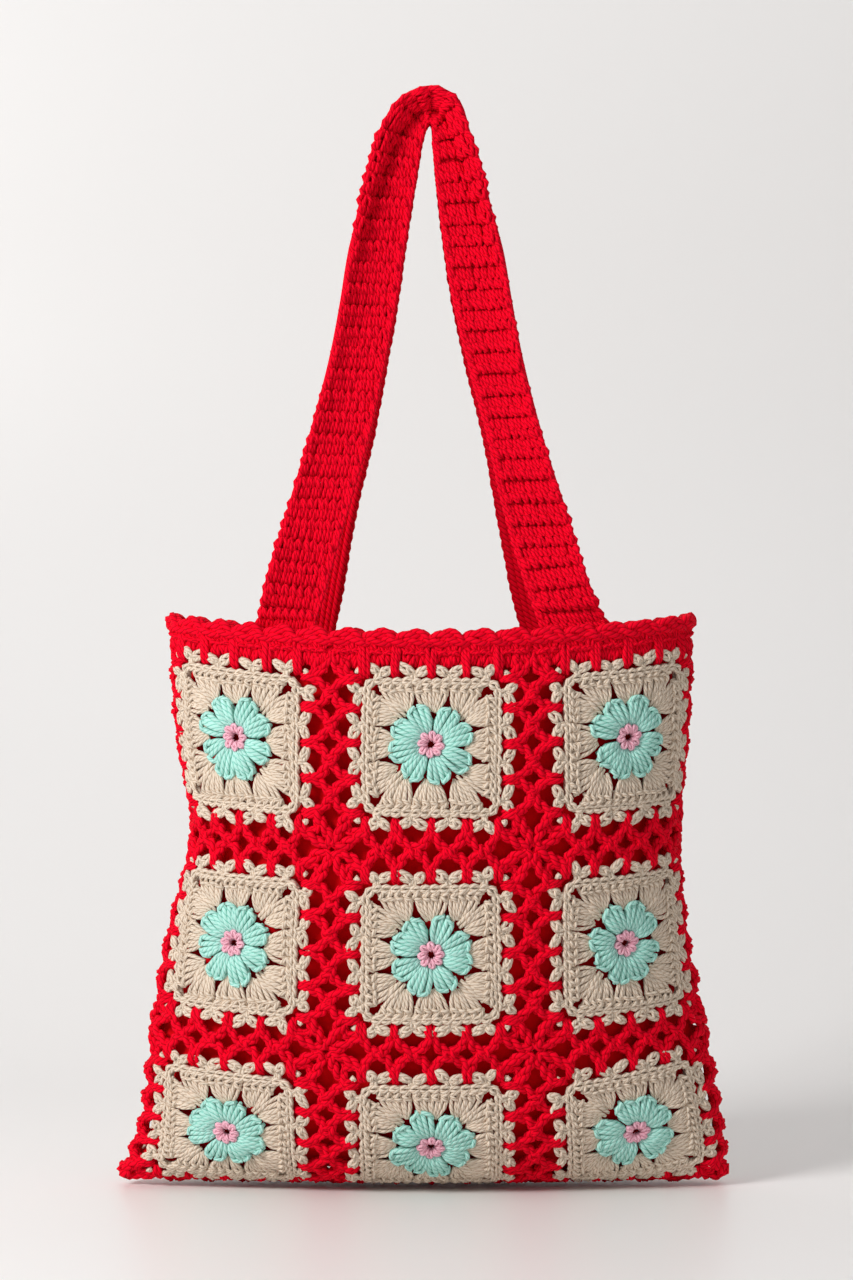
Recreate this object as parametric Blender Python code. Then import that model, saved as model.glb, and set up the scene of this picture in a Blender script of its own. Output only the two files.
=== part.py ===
"""A crocheted shoulder bag: eighteen granny squares in a red net, a shell border round the mouth,
two long crocheted handles and a cloth lining. The bag is filled out and hangs from the peak of its
handles, with its bottom just on the ground. Metres, +Z up, front towards -Y, origin at the peak."""

import math

import bpy
import numpy as np
from mathutils import Vector
from mathutils.geometry import delaunay_2d_cdt

# Sizes of the crocheted panels, laid flat
SQUARE = 0.100
NET_WIDTH = 0.022
COLUMNS = 3
ROWS = 3
BORDER_HEIGHT = 0.022
SCALLOP_HEIGHT = 0.005
SCALLOPS = 36
SHOULDER_SHARE = 0.25
SHOULDER_DEPTH = 0.15

# Sizes of one granny square
CENTRE_RADIUS = 0.0085
CENTRE_HOLE_RADIUS = 0.0022
PETAL_RADIUS = 0.0270
PETAL_NOTCH_RADIUS = 0.0215
PETALS = 8
CORNER_HOLE_PLACE = 0.0345
CORNER_HOLE_RADIUS = 0.0052
PETAL_TURN = math.radians(22.5)

# Gaps in the net
NET_HOLE_LENGTH = 0.013
NET_HOLE_WIDTH = 0.0095
NET_HOLE_PITCH = 0.022
NET_HOLES_PER_SIDE = 3

# Thicknesses
SQUARE_THICKNESS = 0.0050
PETAL_THICKNESS = 0.0070
CENTRE_THICKNESS = 0.0060
NET_THICKNESS = 0.0052
BORDER_THICKNESS = 0.0055
LINING_THICKNESS = 0.0012
LINING_INSET = 0.0030
LINING_HEM = 0.019

# How the filled bag stands
BAG_HEIGHT = 0.336
RIM_BELOW_PEAK = 0.292
MOUTH_HALF_DEPTH = 0.060

# Handles
BAND_WIDTH = 0.038
BAND_THICKNESS = 0.0048
HANDLE_REACH = 0.083
HANDLE_TAIL = 0.017
FOOT_INSET = 0.0006
PEAK_HALF_GAP = 0.0006
BACK_HANDLE_SHARE = 1.0
BACK_FOOT_SHARE = 0.865
BACK_NARROWING = 4

# Pieces that meet keep this much air between them
CLEARANCE = 0.0003
# and flat points nearer than this are one
SAME_POINT = CLEARANCE / 20

PITCH = SQUARE + NET_WIDTH
FACE_WIDTH = COLUMNS * PITCH
QUARTER = FACE_WIDTH / 2
DROP = BORDER_HEIGHT + ROWS * PITCH - NET_WIDTH / 2

# Sections of the filled bag from the mouth down to the seam underneath. share is the share of the
# drop, left and right the half-widths and depth the half-depth as shares of half the face's width,
# middle and side the fall below the mouth's side as shares of the height, and sharp how pointed the
# sides are (0.5 is an ellipse, less is boxier, more a lens). The columns stand in that order.
SECTIONS = (
    (-0.03, 0.834, 0.832, 0.978, -0.006, -0.036, 0.50),
    (0.000, 0.832, 0.830, 0.985, 0.033, 0.000, 0.50),
    (0.058, 0.826, 0.828, 1.020, 0.098, 0.060, 0.50),
    (0.191, 0.806, 0.815, 1.130, 0.235, 0.208, 0.50),
    (0.353, 0.759, 0.787, 1.200, 0.417, 0.393, 0.50),
    (0.515, 0.830, 0.811, 1.120, 0.596, 0.565, 0.55),
    (0.676, 0.891, 0.874, 1.010, 0.768, 0.738, 0.62),
    (0.838, 0.920, 0.922, 0.800, 0.930, 0.893, 0.58),
    (0.915, 0.948, 0.936, 0.520, 0.984, 0.953, 0.44),
    (0.960, 0.980, 0.945, 0.265, 0.997, 0.984, 0.28),
    (1.000, 1.008, 0.952, 0.000, 1.000, 1.000, 0.20),
)

# The front handle's two edges from its left foot over the peak to its right foot. Across is the
# distance from the middle as a share of the handle's reach, down the fall below the peak as a share
# of the mouth's fall, and curl how far the outer edge rolls forward as a share of the band's width.
# The columns are the inner edge's across and down, the outer edge's across and down, and the curl.
HANDLE_STATIONS = (
    (-0.775, 0.990, -1.205, 0.975, 0.03),
    (-0.580, 0.795, -1.016, 0.788, 0.08),
    (-0.411, 0.617, -0.837, 0.613, 0.13),
    (-0.328, 0.498, -0.727, 0.495, 0.17),
    (-0.249, 0.378, -0.646, 0.376, 0.19),
    (-0.187, 0.258, -0.577, 0.256, 0.21),
    (-0.105, 0.112, -0.481, 0.100, 0.24),
    (-0.062, 0.040, -0.384, 0.018, 0.28),
    (-0.028, 0.006, -0.185, -0.056, 0.31),
    (-0.010, 0.000, -0.010, -0.072, 0.32),
    (0.008, 0.006, 0.140, -0.060, 0.31),
    (0.016, 0.048, 0.300, 0.030, 0.28),
    (0.068, 0.200, 0.462, 0.196, 0.22),
    (0.157, 0.370, 0.571, 0.366, 0.19),
    (0.253, 0.490, 0.648, 0.486, 0.17),
    (0.396, 0.647, 0.787, 0.643, 0.12),
    (0.540, 0.832, 1.000, 0.828, 0.07),
    (0.710, 0.990, 1.165, 0.975, 0.03),
)
# Across the band from its inner to its outer edge: place as a share of the width, and how much of
# the curl has come in there.
BAND_PROFILE = ((0.00, 0.10), (0.34, 0.0), (0.68, 0.22), (1.00, 1.00))

# Where each foot is sewn in behind the border, at two depths below the mouth: the flat places of its
# inner and outer edges as shares of the reach
LEFT_FOOT = ((-0.930, -1.400), (-0.880, -1.347))
RIGHT_FOOT = ((0.870, 1.415), (0.822, 1.361))

GRID_ACROSS = 96
GRID_DOWN = 140
FINE_STEPS = 8
STATION_STEPS = 1

COLOURS = {
    "yarn_red": (0.78, 0.006, 0.010),
    "yarn_cream": (0.68, 0.57, 0.42),
    "yarn_mint": (0.28, 0.68, 0.56),
    "yarn_pink": (0.80, 0.40, 0.47),
    "lining_red": (0.32, 0.004, 0.010),
}
SHARP_EDGE = math.radians(40)
YARN_ROUGHNESS = 0.85
LINING_ROUGHNESS = 0.45


def smooth_rows(rows, at):
    """Rows of a table read at places between them, along a smooth curve through each column."""
    rows = np.asarray(rows, float)
    knots, values = rows[:, 0], rows[:, 1:]
    steps = np.diff(knots)[:, None]
    slopes = np.diff(values, axis=0) / steps
    tangents = np.zeros_like(values)
    tangents[0], tangents[-1] = slopes[0], slopes[-1]
    tangents[1:-1] = (slopes[:-1] * steps[1:] + slopes[1:] * steps[:-1]) / (steps[1:] + steps[:-1])
    at = np.clip(np.atleast_1d(at), knots[0], knots[-1])
    span = np.clip(np.searchsorted(knots, at, side="right") - 1, 0, len(knots) - 2)
    width = (knots[span + 1] - knots[span])[:, None]
    t = (at[:, None] - knots[span][:, None]) / width
    first, last = values[span], values[span + 1]
    bend_first, bend_last = tangents[span] * width, tangents[span + 1] * width
    cubic = (2 * t**3 - 3 * t**2 + 1) * first + (t**3 - 2 * t**2 + t) * bend_first
    return cubic + (-2 * t**3 + 3 * t**2) * last + (t**3 - t**2) * bend_last


class BagSurface:
    """The filled bag's cloth as a map from the flat panel to space: u runs round the bag from the
    middle of the front, v down the panel from the mouth, and h outwards from the cloth."""

    def __init__(self):
        self.top = SECTIONS[0][0] * DROP
        self.down = np.linspace(self.top, DROP, GRID_DOWN)
        self.across = np.linspace(-QUARTER, QUARTER, 2 * GRID_ACROSS + 1)
        sections = smooth_rows(SECTIONS, self.down / DROP)
        self.points = np.array([self.section(row) for row in sections])
        self.normals = self.outward()

    def section(self, row):
        """Half a ring at one height, front only, at even steps of arc length."""
        left, right, depth, middle, side, sharp = row
        angle = np.linspace(0, math.pi / 2, FINE_STEPS * GRID_ACROSS + 1)
        halves = []
        for width in (left, right):
            x = width * QUARTER * np.sin(angle)
            y = -depth * MOUTH_HALF_DEPTH * np.cos(angle) ** (2 * sharp)
            length = np.concatenate([[0], np.cumsum(np.hypot(np.diff(x), np.diff(y)))])
            even = np.linspace(0, length[-1], GRID_ACROSS + 1)
            halves.append((np.interp(even, length, x), np.interp(even, length, y)))
        x = np.concatenate([-halves[0][0][:0:-1], halves[1][0]])
        y = np.concatenate([halves[0][1][:0:-1], halves[1][1]])
        towards_side = (self.across / QUARTER) ** 2
        fall = middle + (side - middle) * towards_side
        z = -RIM_BELOW_PEAK - fall * BAG_HEIGHT
        return np.stack([x, y, z], axis=1)

    def outward(self):
        """Unit normals of the grid, pointing out of the bag."""
        by_down = np.gradient(self.points, self.down, axis=0)
        by_across = np.gradient(self.points, self.across, axis=1)
        normals = np.cross(by_down, by_across)
        normals[:, 0] = (-1, 0, 0)
        normals[:, -1] = (1, 0, 0)
        normals[-1, :, 1] = 0
        normals[-1, 0] = (-1, 0, -1)
        normals[-1, -1] = (1, 0, -1)
        return normals / np.linalg.norm(normals, axis=2, keepdims=True)

    def place(self, u, v, h):
        """The point of space over a flat point, as three numbers."""
        (u, v), behind = front_half(u, v)
        i = (v - self.top) / (DROP - self.top) * (GRID_DOWN - 1)
        j = (u + QUARTER) / (2 * QUARTER) * (2 * GRID_ACROSS)
        i0 = int(np.clip(i, 0, GRID_DOWN - 2))
        j0 = int(np.clip(j, 0, 2 * GRID_ACROSS - 1))
        a, b = i - i0, j - j0
        weights = np.array([(1 - a) * (1 - b), (1 - a) * b, a * (1 - b), a * b])
        rows = [i0, i0, i0 + 1, i0 + 1]
        columns = [j0, j0 + 1, j0, j0 + 1]
        point = weights @ self.points[rows, columns]
        normal = weights @ self.normals[rows, columns]
        found = point + normal / np.linalg.norm(normal) * h
        return found * (1, -1, 1) if behind else found


def canonical(u, v):
    """The same flat point with v on the panel and u within half a turn. Past the seam underneath,
    the panel goes on up the other face."""
    if v > DROP:
        u, v = 2 * QUARTER - u, 2 * DROP - v
    u = (u + 2 * QUARTER) % (4 * QUARTER) - 2 * QUARTER
    if abs(v - DROP) < CLEARANCE / 10 and abs(u) > QUARTER:
        u = math.copysign(2 * QUARTER, u) - u
    return u, v


def front_half(u, v):
    """A flat point folded to the front face, and whether it lies on the back."""
    u, v = canonical(u, v)
    if abs(u) <= QUARTER:
        return (u, v), False
    return (math.copysign(2 * QUARTER, u) - u, v), True


def polygon(centre, radii, turn=0.0):
    """Points round a centre, one for each radius."""
    count = len(radii)
    return [
        (
            centre[0] + radius * math.cos(turn + 2 * math.pi * k / count),
            centre[1] + radius * math.sin(turn + 2 * math.pi * k / count),
        )
        for k, radius in enumerate(radii)
    ]


def rectangle(u0, u1, v0, v1, across=(), down=()):
    """A rectangle's outline with extra points at shares of its sides."""
    corners = ((u0, v0), (u1, v0), (u1, v1), (u0, v1))
    shares = ((0.0, *across), (0.0, *down), (0.0, *across), (0.0, *down))
    found = []
    for k in range(len(corners)):
        (ua, va), (ub, vb) = corners[k], corners[(k + 1) % len(corners)]
        found += [(ua + (ub - ua) * s, va + (vb - va) * s) for s in shares[k]]
    return found


def inside(point, loop):
    """Whether a flat point lies inside a loop of points."""
    crossings = 0
    for k, (ua, va) in enumerate(loop):
        ub, vb = loop[k - 1]
        if (va > point[1]) != (vb > point[1]):
            crossings += point[0] < ua + (point[1] - va) / (vb - va) * (ub - ua)
    return crossings % 2 == 1


def flat_triangles(outline, holes, inner_points=()):
    """Triangles that fill an outline and leave its holes open, all turned the same way."""
    points, edges = [], []
    for loop in (outline, *holes):
        start, count = len(points), len(loop)
        points += [Vector(p) for p in loop]
        edges += [(start + k, start + (k + 1) % count) for k in range(count)]
    points += [Vector(p) for p in inner_points]
    made = delaunay_2d_cdt(points, edges, [], 1, CLEARANCE / 1000)
    corners = [(p.x, p.y) for p in made[0]]
    kept = []
    for face in made[2]:
        middle = np.mean([corners[k] for k in face], axis=0)
        if not inside(middle, outline) or any(inside(middle, hole) for hole in holes):
            continue
        a, b, c = (np.array(corners[k]) for k in face)
        turn = (b - a)[0] * (c - a)[1] - (b - a)[1] * (c - a)[0]
        kept.append(tuple(face) if turn > 0 else tuple(reversed(face)))
    return corners, kept


def material(name):
    """One plain material for each yarn or cloth."""
    found = bpy.data.materials.get(name)
    if found:
        return found
    found = bpy.data.materials.new(name)
    found.use_nodes = True
    shader = found.node_tree.nodes["Principled BSDF"]
    shader.inputs["Base Color"].default_value = (*COLOURS[name], 1)
    is_lining = name == "lining_red"
    shader.inputs["Roughness"].default_value = LINING_ROUGHNESS if is_lining else YARN_ROUGHNESS
    shader.inputs["Metallic"].default_value = 0
    found.diffuse_color = (*COLOURS[name], 1)
    return found


def add_object(name, points, faces, finish):
    """A mesh object of one closed solid."""
    mesh = bpy.data.meshes.new(name)
    mesh.from_pydata([tuple(p) for p in points], [], faces)
    mesh.materials.append(material(finish))
    mesh.validate()
    mesh.update()
    mesh.shade_smooth()
    mesh.set_sharp_from_angle(angle=SHARP_EDGE)
    found = bpy.data.objects.new(name, mesh)
    bpy.context.scene.collection.objects.link(found)
    return found


def add_shell(name, surface, tiles, low, high, finish):
    """A solid between two heights over the cloth, cut out as flat tiles that join at their edges."""
    keys, flat, faces = {}, [], []
    for outline, holes, inner_points in tiles:
        corners, triangles = flat_triangles(outline, holes, inner_points)
        index = []
        for corner in corners:
            u, v = canonical(*corner)
            if abs(abs(u) - 2 * QUARTER) < CLEARANCE / 10:
                u = 2 * QUARTER
            key = (round(u / SAME_POINT), round(v / SAME_POINT))
            if key not in keys:
                keys[key] = len(flat)
                flat.append((u, v))
            index.append(keys[key])
        faces += [tuple(index[k] for k in triangle) for triangle in triangles]
    count = len(flat)
    points = [surface.place(u, v, high) for u, v in flat]
    points += [surface.place(u, v, low) for u, v in flat]
    sides = {}
    for a, b, c in faces:
        for edge in ((a, b), (b, c), (c, a)):
            sides[edge] = edge
    rims = [edge for edge in sides if (edge[1], edge[0]) not in sides]
    solid = [(c, b, a) for a, b, c in faces]
    solid += [(a + count, b + count, c + count) for a, b, c in faces]
    for a, b in rims:
        if flat_order(flat[a]) < flat_order(flat[b]):
            solid += [(a, b, b + count), (a, b + count, a + count)]
        else:
            solid += [(a, b, a + count), (b, b + count, a + count)]
    return add_object(name, points, solid, finish)


def flat_order(point):
    """Ranks flat points, so that the walls of two neighbours are split along like diagonals."""
    return point[0] + point[1] * math.sqrt(2)


def square_centres():
    """Name, u and v of each granny square's centre, front and back."""
    found = []
    for face, middle in (("front", 0.0), ("back", 2 * QUARTER)):
        for row in range(ROWS):
            for column in range(COLUMNS):
                u = middle + (column - (COLUMNS - 1) / 2) * PITCH
                v = BORDER_HEIGHT + SQUARE / 2 + row * PITCH
                found.append((f"{face}_{row + 1}_{column + 1}", u, v))
    return found


EDGE_SHARES = (0.28, 0.72)
MIDLINE = (0.5,)
NET_RIDGE = 0.40


def square_outline(u, v, grow):
    """The edge of a granny square, or of the net's opening for it."""
    half = SQUARE / 2 + grow
    return rectangle(u - half, u + half, v - half, v + half, EDGE_SHARES, EDGE_SHARES)


def petal_outline(u, v, grow):
    """The eight-lobed edge of the petals."""
    radii = [PETAL_RADIUS + grow, PETAL_NOTCH_RADIUS + grow] * PETALS
    return polygon((u, v), radii, PETAL_TURN)


def add_squares(surface):
    """The cream, mint and pink rounds of every granny square."""
    half = CLEARANCE / 2
    for name, u, v in square_centres():
        corners = [(su * CORNER_HOLE_PLACE, sv * CORNER_HOLE_PLACE) for su in (-1, 1) for sv in (-1, 1)]
        holes = [polygon((u + du, v + dv), [CORNER_HOLE_RADIUS] * 4) for du, dv in corners]
        holes.append(petal_outline(u, v, half))
        cream = [(square_outline(u, v, -half), holes, ())]
        add_shell(f"square_{name}", surface, cream, CLEARANCE, SQUARE_THICKNESS, "yarn_cream")
        eye = polygon((u, v), [CENTRE_RADIUS + half] * PETALS)
        mint = [(petal_outline(u, v, -half), [eye], ())]
        add_shell(f"petals_{name}", surface, mint, CLEARANCE, PETAL_THICKNESS, "yarn_mint")
        pink = polygon((u, v), [CENTRE_RADIUS - half] * PETALS)
        dimple = polygon((u, v), [CENTRE_HOLE_RADIUS] * 4)
        add_shell(f"centre_{name}", surface, [(pink, [dimple], ())], CLEARANCE, CENTRE_THICKNESS, "yarn_pink")


def net_diamonds(u, v, along_u):
    """The diamond gaps along one strip of net, centred on u, v."""
    first = -(NET_HOLES_PER_SIDE - 1) / 2
    found = []
    for k in range(NET_HOLES_PER_SIDE):
        along = (first + k) * NET_HOLE_PITCH
        centre = (u + along, v) if along_u else (u, v + along)
        length, width = NET_HOLE_LENGTH / 2, NET_HOLE_WIDTH / 2
        radii = (length, width, length, width) if along_u else (width, length, width, length)
        found.append(polygon(centre, radii))
    return found


def net_tiles():
    """Strips of net beside every square and the patches where the strips cross."""
    tiles = []
    half_net = NET_WIDTH / 2 - CLEARANCE / 2
    half = SQUARE / 2 + CLEARANCE / 2
    for row in range(ROWS):
        v = BORDER_HEIGHT + SQUARE / 2 + row * PITCH
        top = v - half if row else BORDER_HEIGHT + CLEARANCE
        for column in range(2 * COLUMNS):
            u = -QUARTER + column * PITCH
            strip = rectangle(u - half_net, u + half_net, top, v + half, MIDLINE, EDGE_SHARES)
            ridge = [(u, v - SQUARE * NET_RIDGE), (u, v + SQUARE * NET_RIDGE)]
            tiles.append((strip, net_diamonds(u, v, False), ridge))
            below = v + PITCH / 2
            under = row == ROWS - 1
            fold = MIDLINE if under else ()
            if under and column % COLUMNS == 0:
                corner = [(u - half_net, v + half), (u, v + half), (u + half_net, v + half)]
                corner += [(u + half_net, DROP), (u, DROP), (u - half_net, DROP)]
                tiles.append((corner, [], ()))
            elif not under or column < COLUMNS:
                patch = rectangle(u - half_net, u + half_net, v + half, below + half_net, MIDLINE, fold)
                tiles.append((patch, [], [(u, below)]))
            if not under or column < COLUMNS:
                ends = (u + half_net, u + PITCH - half_net)
                strip = rectangle(*ends, v + half, below + half_net, EDGE_SHARES, fold)
                tiles.append((strip, net_diamonds(u + PITCH / 2, below, True), ()))
    return tiles


def add_net(surface):
    """The red net that joins the squares round the bag and under it."""
    add_shell("joining_net", surface, net_tiles(), CLEARANCE, NET_THICKNESS, "yarn_red")


def add_border(surface):
    """The shell border round the mouth, with a scalloped top."""
    pitch = 4 * QUARTER / SCALLOPS
    tiles = []
    bottom = BORDER_HEIGHT - CLEARANCE
    shoulder = SCALLOP_HEIGHT * SHOULDER_DEPTH
    for k in range(SCALLOPS):
        start = -QUARTER + k * pitch
        outline = [
            (start, SCALLOP_HEIGHT),
            (start + pitch * SHOULDER_SHARE, shoulder),
            (start + pitch * (1 - SHOULDER_SHARE), shoulder),
            (start + pitch, SCALLOP_HEIGHT),
            (start + pitch, bottom),
            (start, bottom),
        ]
        tiles.append((outline, [], ()))
    add_shell("rim_border", surface, tiles, CLEARANCE, BORDER_THICKNESS, "yarn_red")


LINING_ROUND = (-0.5, -0.3, -0.1, 0.1, 0.3)
LINING_DOWN = (0.16, 0.35, 0.52, 0.68, 0.76, 0.84, 0.89, 0.93, 0.965, 1.0)


def add_lining(surface):
    """The open bag of thin cloth inside the net, hemmed behind the border."""
    columns = range(2 * COLUMNS)
    around = [(column - COLUMNS + share) * PITCH for column in columns for share in LINING_ROUND]
    levels = [LINING_HEM / DROP, *LINING_DOWN]
    tiles = []
    for k, start in enumerate(around):
        end = around[k + 1] if k + 1 < len(around) else around[0] + 4 * QUARTER
        for top, bottom in zip(levels, levels[1:]):
            tiles.append((rectangle(start, end, top * DROP, bottom * DROP), [], ()))
    outer = -LINING_INSET
    add_shell("lining", surface, tiles, outer - LINING_THICKNESS, outer, "lining_red")


def handle_rows(surface, side):
    """Points across the band at stations from one foot to the other. side is -1 in front and 1
    behind, where the feet stand closer together."""
    rows = []
    peak_share, foot_share = (1.0, 1.0) if side < 0 else (BACK_HANDLE_SHARE, BACK_FOOT_SHARE)
    foot_y = abs(surface.place(HANDLE_REACH, 0.0, -BAND_THICKNESS / 2)[1])
    for across_in, down_in, across_out, down_out, curl in HANDLE_STATIONS:
        points = []
        for place, roll in BAND_PROFILE:
            fall = down_in + (down_out - down_in) * place
            drawn = peak_share + (foot_share - peak_share) * max(fall, 0.0) ** BACK_NARROWING
            x = (across_in + (across_out - across_in) * place) * HANDLE_REACH * drawn
            z = -fall * RIM_BELOW_PEAK
            peak_y = PEAK_HALF_GAP + BAND_THICKNESS / 2
            y = peak_y + (foot_y - peak_y) * max(fall, 0.0) + curl * roll * BAND_WIDTH
            points.append((x, side * y, z))
        rows.append(points)
    feet = []
    for foot in (LEFT_FOOT, RIGHT_FOOT):
        for v, (inner, outer) in zip((HANDLE_TAIL, SCALLOP_HEIGHT / 2), foot):
            tail = []
            for place, _ in BAND_PROFILE:
                u = (inner + (outer - inner) * place) * HANDLE_REACH * foot_share
                u = u if side < 0 else 2 * QUARTER - u
                tail.append(tuple(surface.place(u, v, -FOOT_INSET - BAND_THICKNESS / 2)))
            feet.append(tail)
    left_tail, left_top, right_tail, right_top = feet
    return np.array([left_tail, left_top, *rows, right_top, right_tail])


def add_handle(name, surface, side):
    """One crocheted band from inside the border over the peak and back."""
    rows = handle_rows(surface, side)
    steps = np.linalg.norm(np.diff(rows.mean(axis=1), axis=0), axis=1)
    along = np.concatenate([[0], np.cumsum(steps)])
    table = np.concatenate([along[:, None], rows.reshape(len(rows), -1)], axis=1)
    places = [along[0]]
    for first, last in zip(along, along[1:]):
        places += list(np.linspace(first, last, STATION_STEPS + 1)[1:])
    middle = smooth_rows(table, np.array(places)).reshape(len(places), len(BAND_PROFILE), 3)
    by_length = np.gradient(middle, axis=0)
    by_width = np.gradient(middle, axis=1)
    normals = np.cross(by_length, by_width)
    normals /= np.linalg.norm(normals, axis=2, keepdims=True)
    normals *= np.sign(np.sum(normals * (0, side, 0), axis=2, keepdims=True))
    normals[normals.sum(axis=2) == 0] = (0, side, 0)
    outer = middle + normals * BAND_THICKNESS / 2
    inner = middle - normals * BAND_THICKNESS / 2
    count, width = middle.shape[:2]
    ring = 2 * width
    points = np.concatenate([outer, inner[:, ::-1]], axis=1).reshape(-1, 3)
    faces = []
    for k in range(count - 1):
        for j in range(ring):
            a, b = k * ring + j, k * ring + (j + 1) % ring
            faces += [(a, b, b + ring), (a, b + ring, a + ring)]
    for j in range(1, ring - 1):
        faces.append((0, j + 1, j))
        last = (count - 1) * ring
        faces.append((last, last + j, last + j + 1))
    if signed_volume(points, faces) < 0:
        faces = [tuple(reversed(face)) for face in faces]
    return add_object(name, points, faces, "yarn_red")


def signed_volume(points, faces):
    """Six times the volume that triangles enclose, negative if they face in."""
    corners = np.asarray(points)[np.asarray(faces)]
    return float(np.linalg.det(corners).sum())


def main():
    """Clears the scene and models the bag."""
    for old in list(bpy.data.objects):
        bpy.data.objects.remove(old, do_unlink=True)
    surface = BagSurface()
    add_lining(surface)
    add_squares(surface)
    add_net(surface)
    add_border(surface)
    add_handle("handle_front", surface, -1)
    add_handle("handle_back", surface, 1)


main()
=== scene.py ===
"""Dresses the crochet bag in yarn and cloth and sets up the studio round it.

Every crocheted piece is laid out flat as strands of yarn, in millimetres, and mapped onto the bag's
own curved surface. One Geometry Nodes tree then spins the strands into tubes. The lining is a thin
sheet of cloth, and the studio is a pale sweep with soft lights.
"""

from __future__ import annotations

import logging
import math
from collections.abc import Callable, Sequence
from dataclasses import dataclass, field
from enum import Enum

import bmesh
import bpy
import numpy as np
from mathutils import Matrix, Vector

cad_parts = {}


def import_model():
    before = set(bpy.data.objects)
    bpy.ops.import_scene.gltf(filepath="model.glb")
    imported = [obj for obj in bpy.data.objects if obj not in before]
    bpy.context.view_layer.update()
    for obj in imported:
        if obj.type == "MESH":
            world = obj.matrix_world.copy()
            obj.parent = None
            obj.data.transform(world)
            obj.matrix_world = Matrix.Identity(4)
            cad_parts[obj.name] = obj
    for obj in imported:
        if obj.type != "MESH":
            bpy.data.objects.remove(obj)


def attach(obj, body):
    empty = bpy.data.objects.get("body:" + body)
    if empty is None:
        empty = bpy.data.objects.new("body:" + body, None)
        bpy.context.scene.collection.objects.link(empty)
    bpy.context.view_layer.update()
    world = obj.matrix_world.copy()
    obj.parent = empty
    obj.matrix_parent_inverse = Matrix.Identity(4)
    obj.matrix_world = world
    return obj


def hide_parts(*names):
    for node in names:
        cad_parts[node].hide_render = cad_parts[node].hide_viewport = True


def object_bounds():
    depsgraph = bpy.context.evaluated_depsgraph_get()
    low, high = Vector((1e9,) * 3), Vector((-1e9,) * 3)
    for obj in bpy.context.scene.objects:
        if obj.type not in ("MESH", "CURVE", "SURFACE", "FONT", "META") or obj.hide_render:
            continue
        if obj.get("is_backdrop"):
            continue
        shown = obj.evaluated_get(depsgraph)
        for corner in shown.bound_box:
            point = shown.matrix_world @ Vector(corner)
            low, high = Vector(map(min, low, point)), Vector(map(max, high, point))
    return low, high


LOG = logging.getLogger("crochet_bag")
MM = 0.001

# The flat panels, as in the part
SQUARE = 0.100
NET_WIDTH = 0.022
COLUMNS = 3
ROWS = 3
BORDER_HEIGHT = 0.022
SCALLOPS = 36
PITCH = SQUARE + NET_WIDTH
QUARTER = COLUMNS * PITCH / 2
ROUND = 4 * QUARTER
DROP = BORDER_HEIGHT + ROWS * PITCH - NET_WIDTH / 2

# How the filled bag stands below the peak of its handles
BAG_HEIGHT = 0.336
RIM_BELOW_PEAK = 0.292
MOUTH_HALF_DEPTH = 0.060

# Sections from the mouth down to the seam underneath: share of the drop, left and right half-width,
# half-depth, fall in the middle and at the sides, and how pointed the sides are
SECTIONS = (
    (-0.03, 0.834, 0.832, 0.978, -0.006, -0.036, 0.50),
    (0.000, 0.832, 0.830, 0.985, 0.033, 0.000, 0.50),
    (0.058, 0.826, 0.828, 1.020, 0.098, 0.060, 0.50),
    (0.191, 0.806, 0.815, 1.130, 0.235, 0.208, 0.50),
    (0.353, 0.759, 0.787, 1.200, 0.417, 0.393, 0.50),
    (0.515, 0.830, 0.811, 1.120, 0.596, 0.565, 0.55),
    (0.676, 0.891, 0.874, 1.010, 0.768, 0.738, 0.62),
    (0.838, 0.920, 0.922, 0.800, 0.930, 0.893, 0.58),
    (0.915, 0.948, 0.936, 0.520, 0.984, 0.953, 0.44),
    (0.960, 0.980, 0.945, 0.265, 0.997, 0.984, 0.28),
    (1.000, 1.008, 0.952, 0.000, 1.000, 1.000, 0.20),
)
GRID_ACROSS = 96
GRID_DOWN = 140

# The handles, as in the part
BAND_WIDTH = 0.038
BAND_THICKNESS = 0.0048
HANDLE_REACH = 0.083
HANDLE_TAIL = 0.017
SCALLOP_HEIGHT = 0.005
FOOT_INSET = 0.0006
PEAK_HALF_GAP = 0.0006
LEFT_FOOT = ((-0.930, -1.400), (-0.880, -1.347))
RIGHT_FOOT = ((0.870, 1.415), (0.822, 1.361))
BACK_HANDLE_SHARE = 1.0
BACK_FOOT_SHARE = 0.865
BACK_NARROWING = 4
HANDLE_STATIONS = (
    (-0.775, 0.990, -1.205, 0.975, 0.03),
    (-0.580, 0.795, -1.016, 0.788, 0.08),
    (-0.411, 0.617, -0.837, 0.613, 0.13),
    (-0.328, 0.498, -0.727, 0.495, 0.17),
    (-0.249, 0.378, -0.646, 0.376, 0.19),
    (-0.187, 0.258, -0.577, 0.256, 0.21),
    (-0.105, 0.112, -0.481, 0.100, 0.24),
    (-0.062, 0.040, -0.384, 0.018, 0.28),
    (-0.028, 0.006, -0.185, -0.056, 0.31),
    (-0.010, 0.000, -0.010, -0.072, 0.32),
    (0.008, 0.006, 0.140, -0.060, 0.31),
    (0.016, 0.048, 0.300, 0.030, 0.28),
    (0.068, 0.200, 0.462, 0.196, 0.22),
    (0.157, 0.370, 0.571, 0.366, 0.19),
    (0.253, 0.490, 0.648, 0.486, 0.17),
    (0.396, 0.647, 0.787, 0.643, 0.12),
    (0.540, 0.832, 1.000, 0.828, 0.07),
    (0.710, 0.990, 1.165, 0.975, 0.03),
)
BAND_PROFILE = ((0.00, 0.10), (0.34, 0.0), (0.68, 0.22), (1.00, 1.00))

PlaceOn = Callable[[np.ndarray], np.ndarray]


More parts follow.
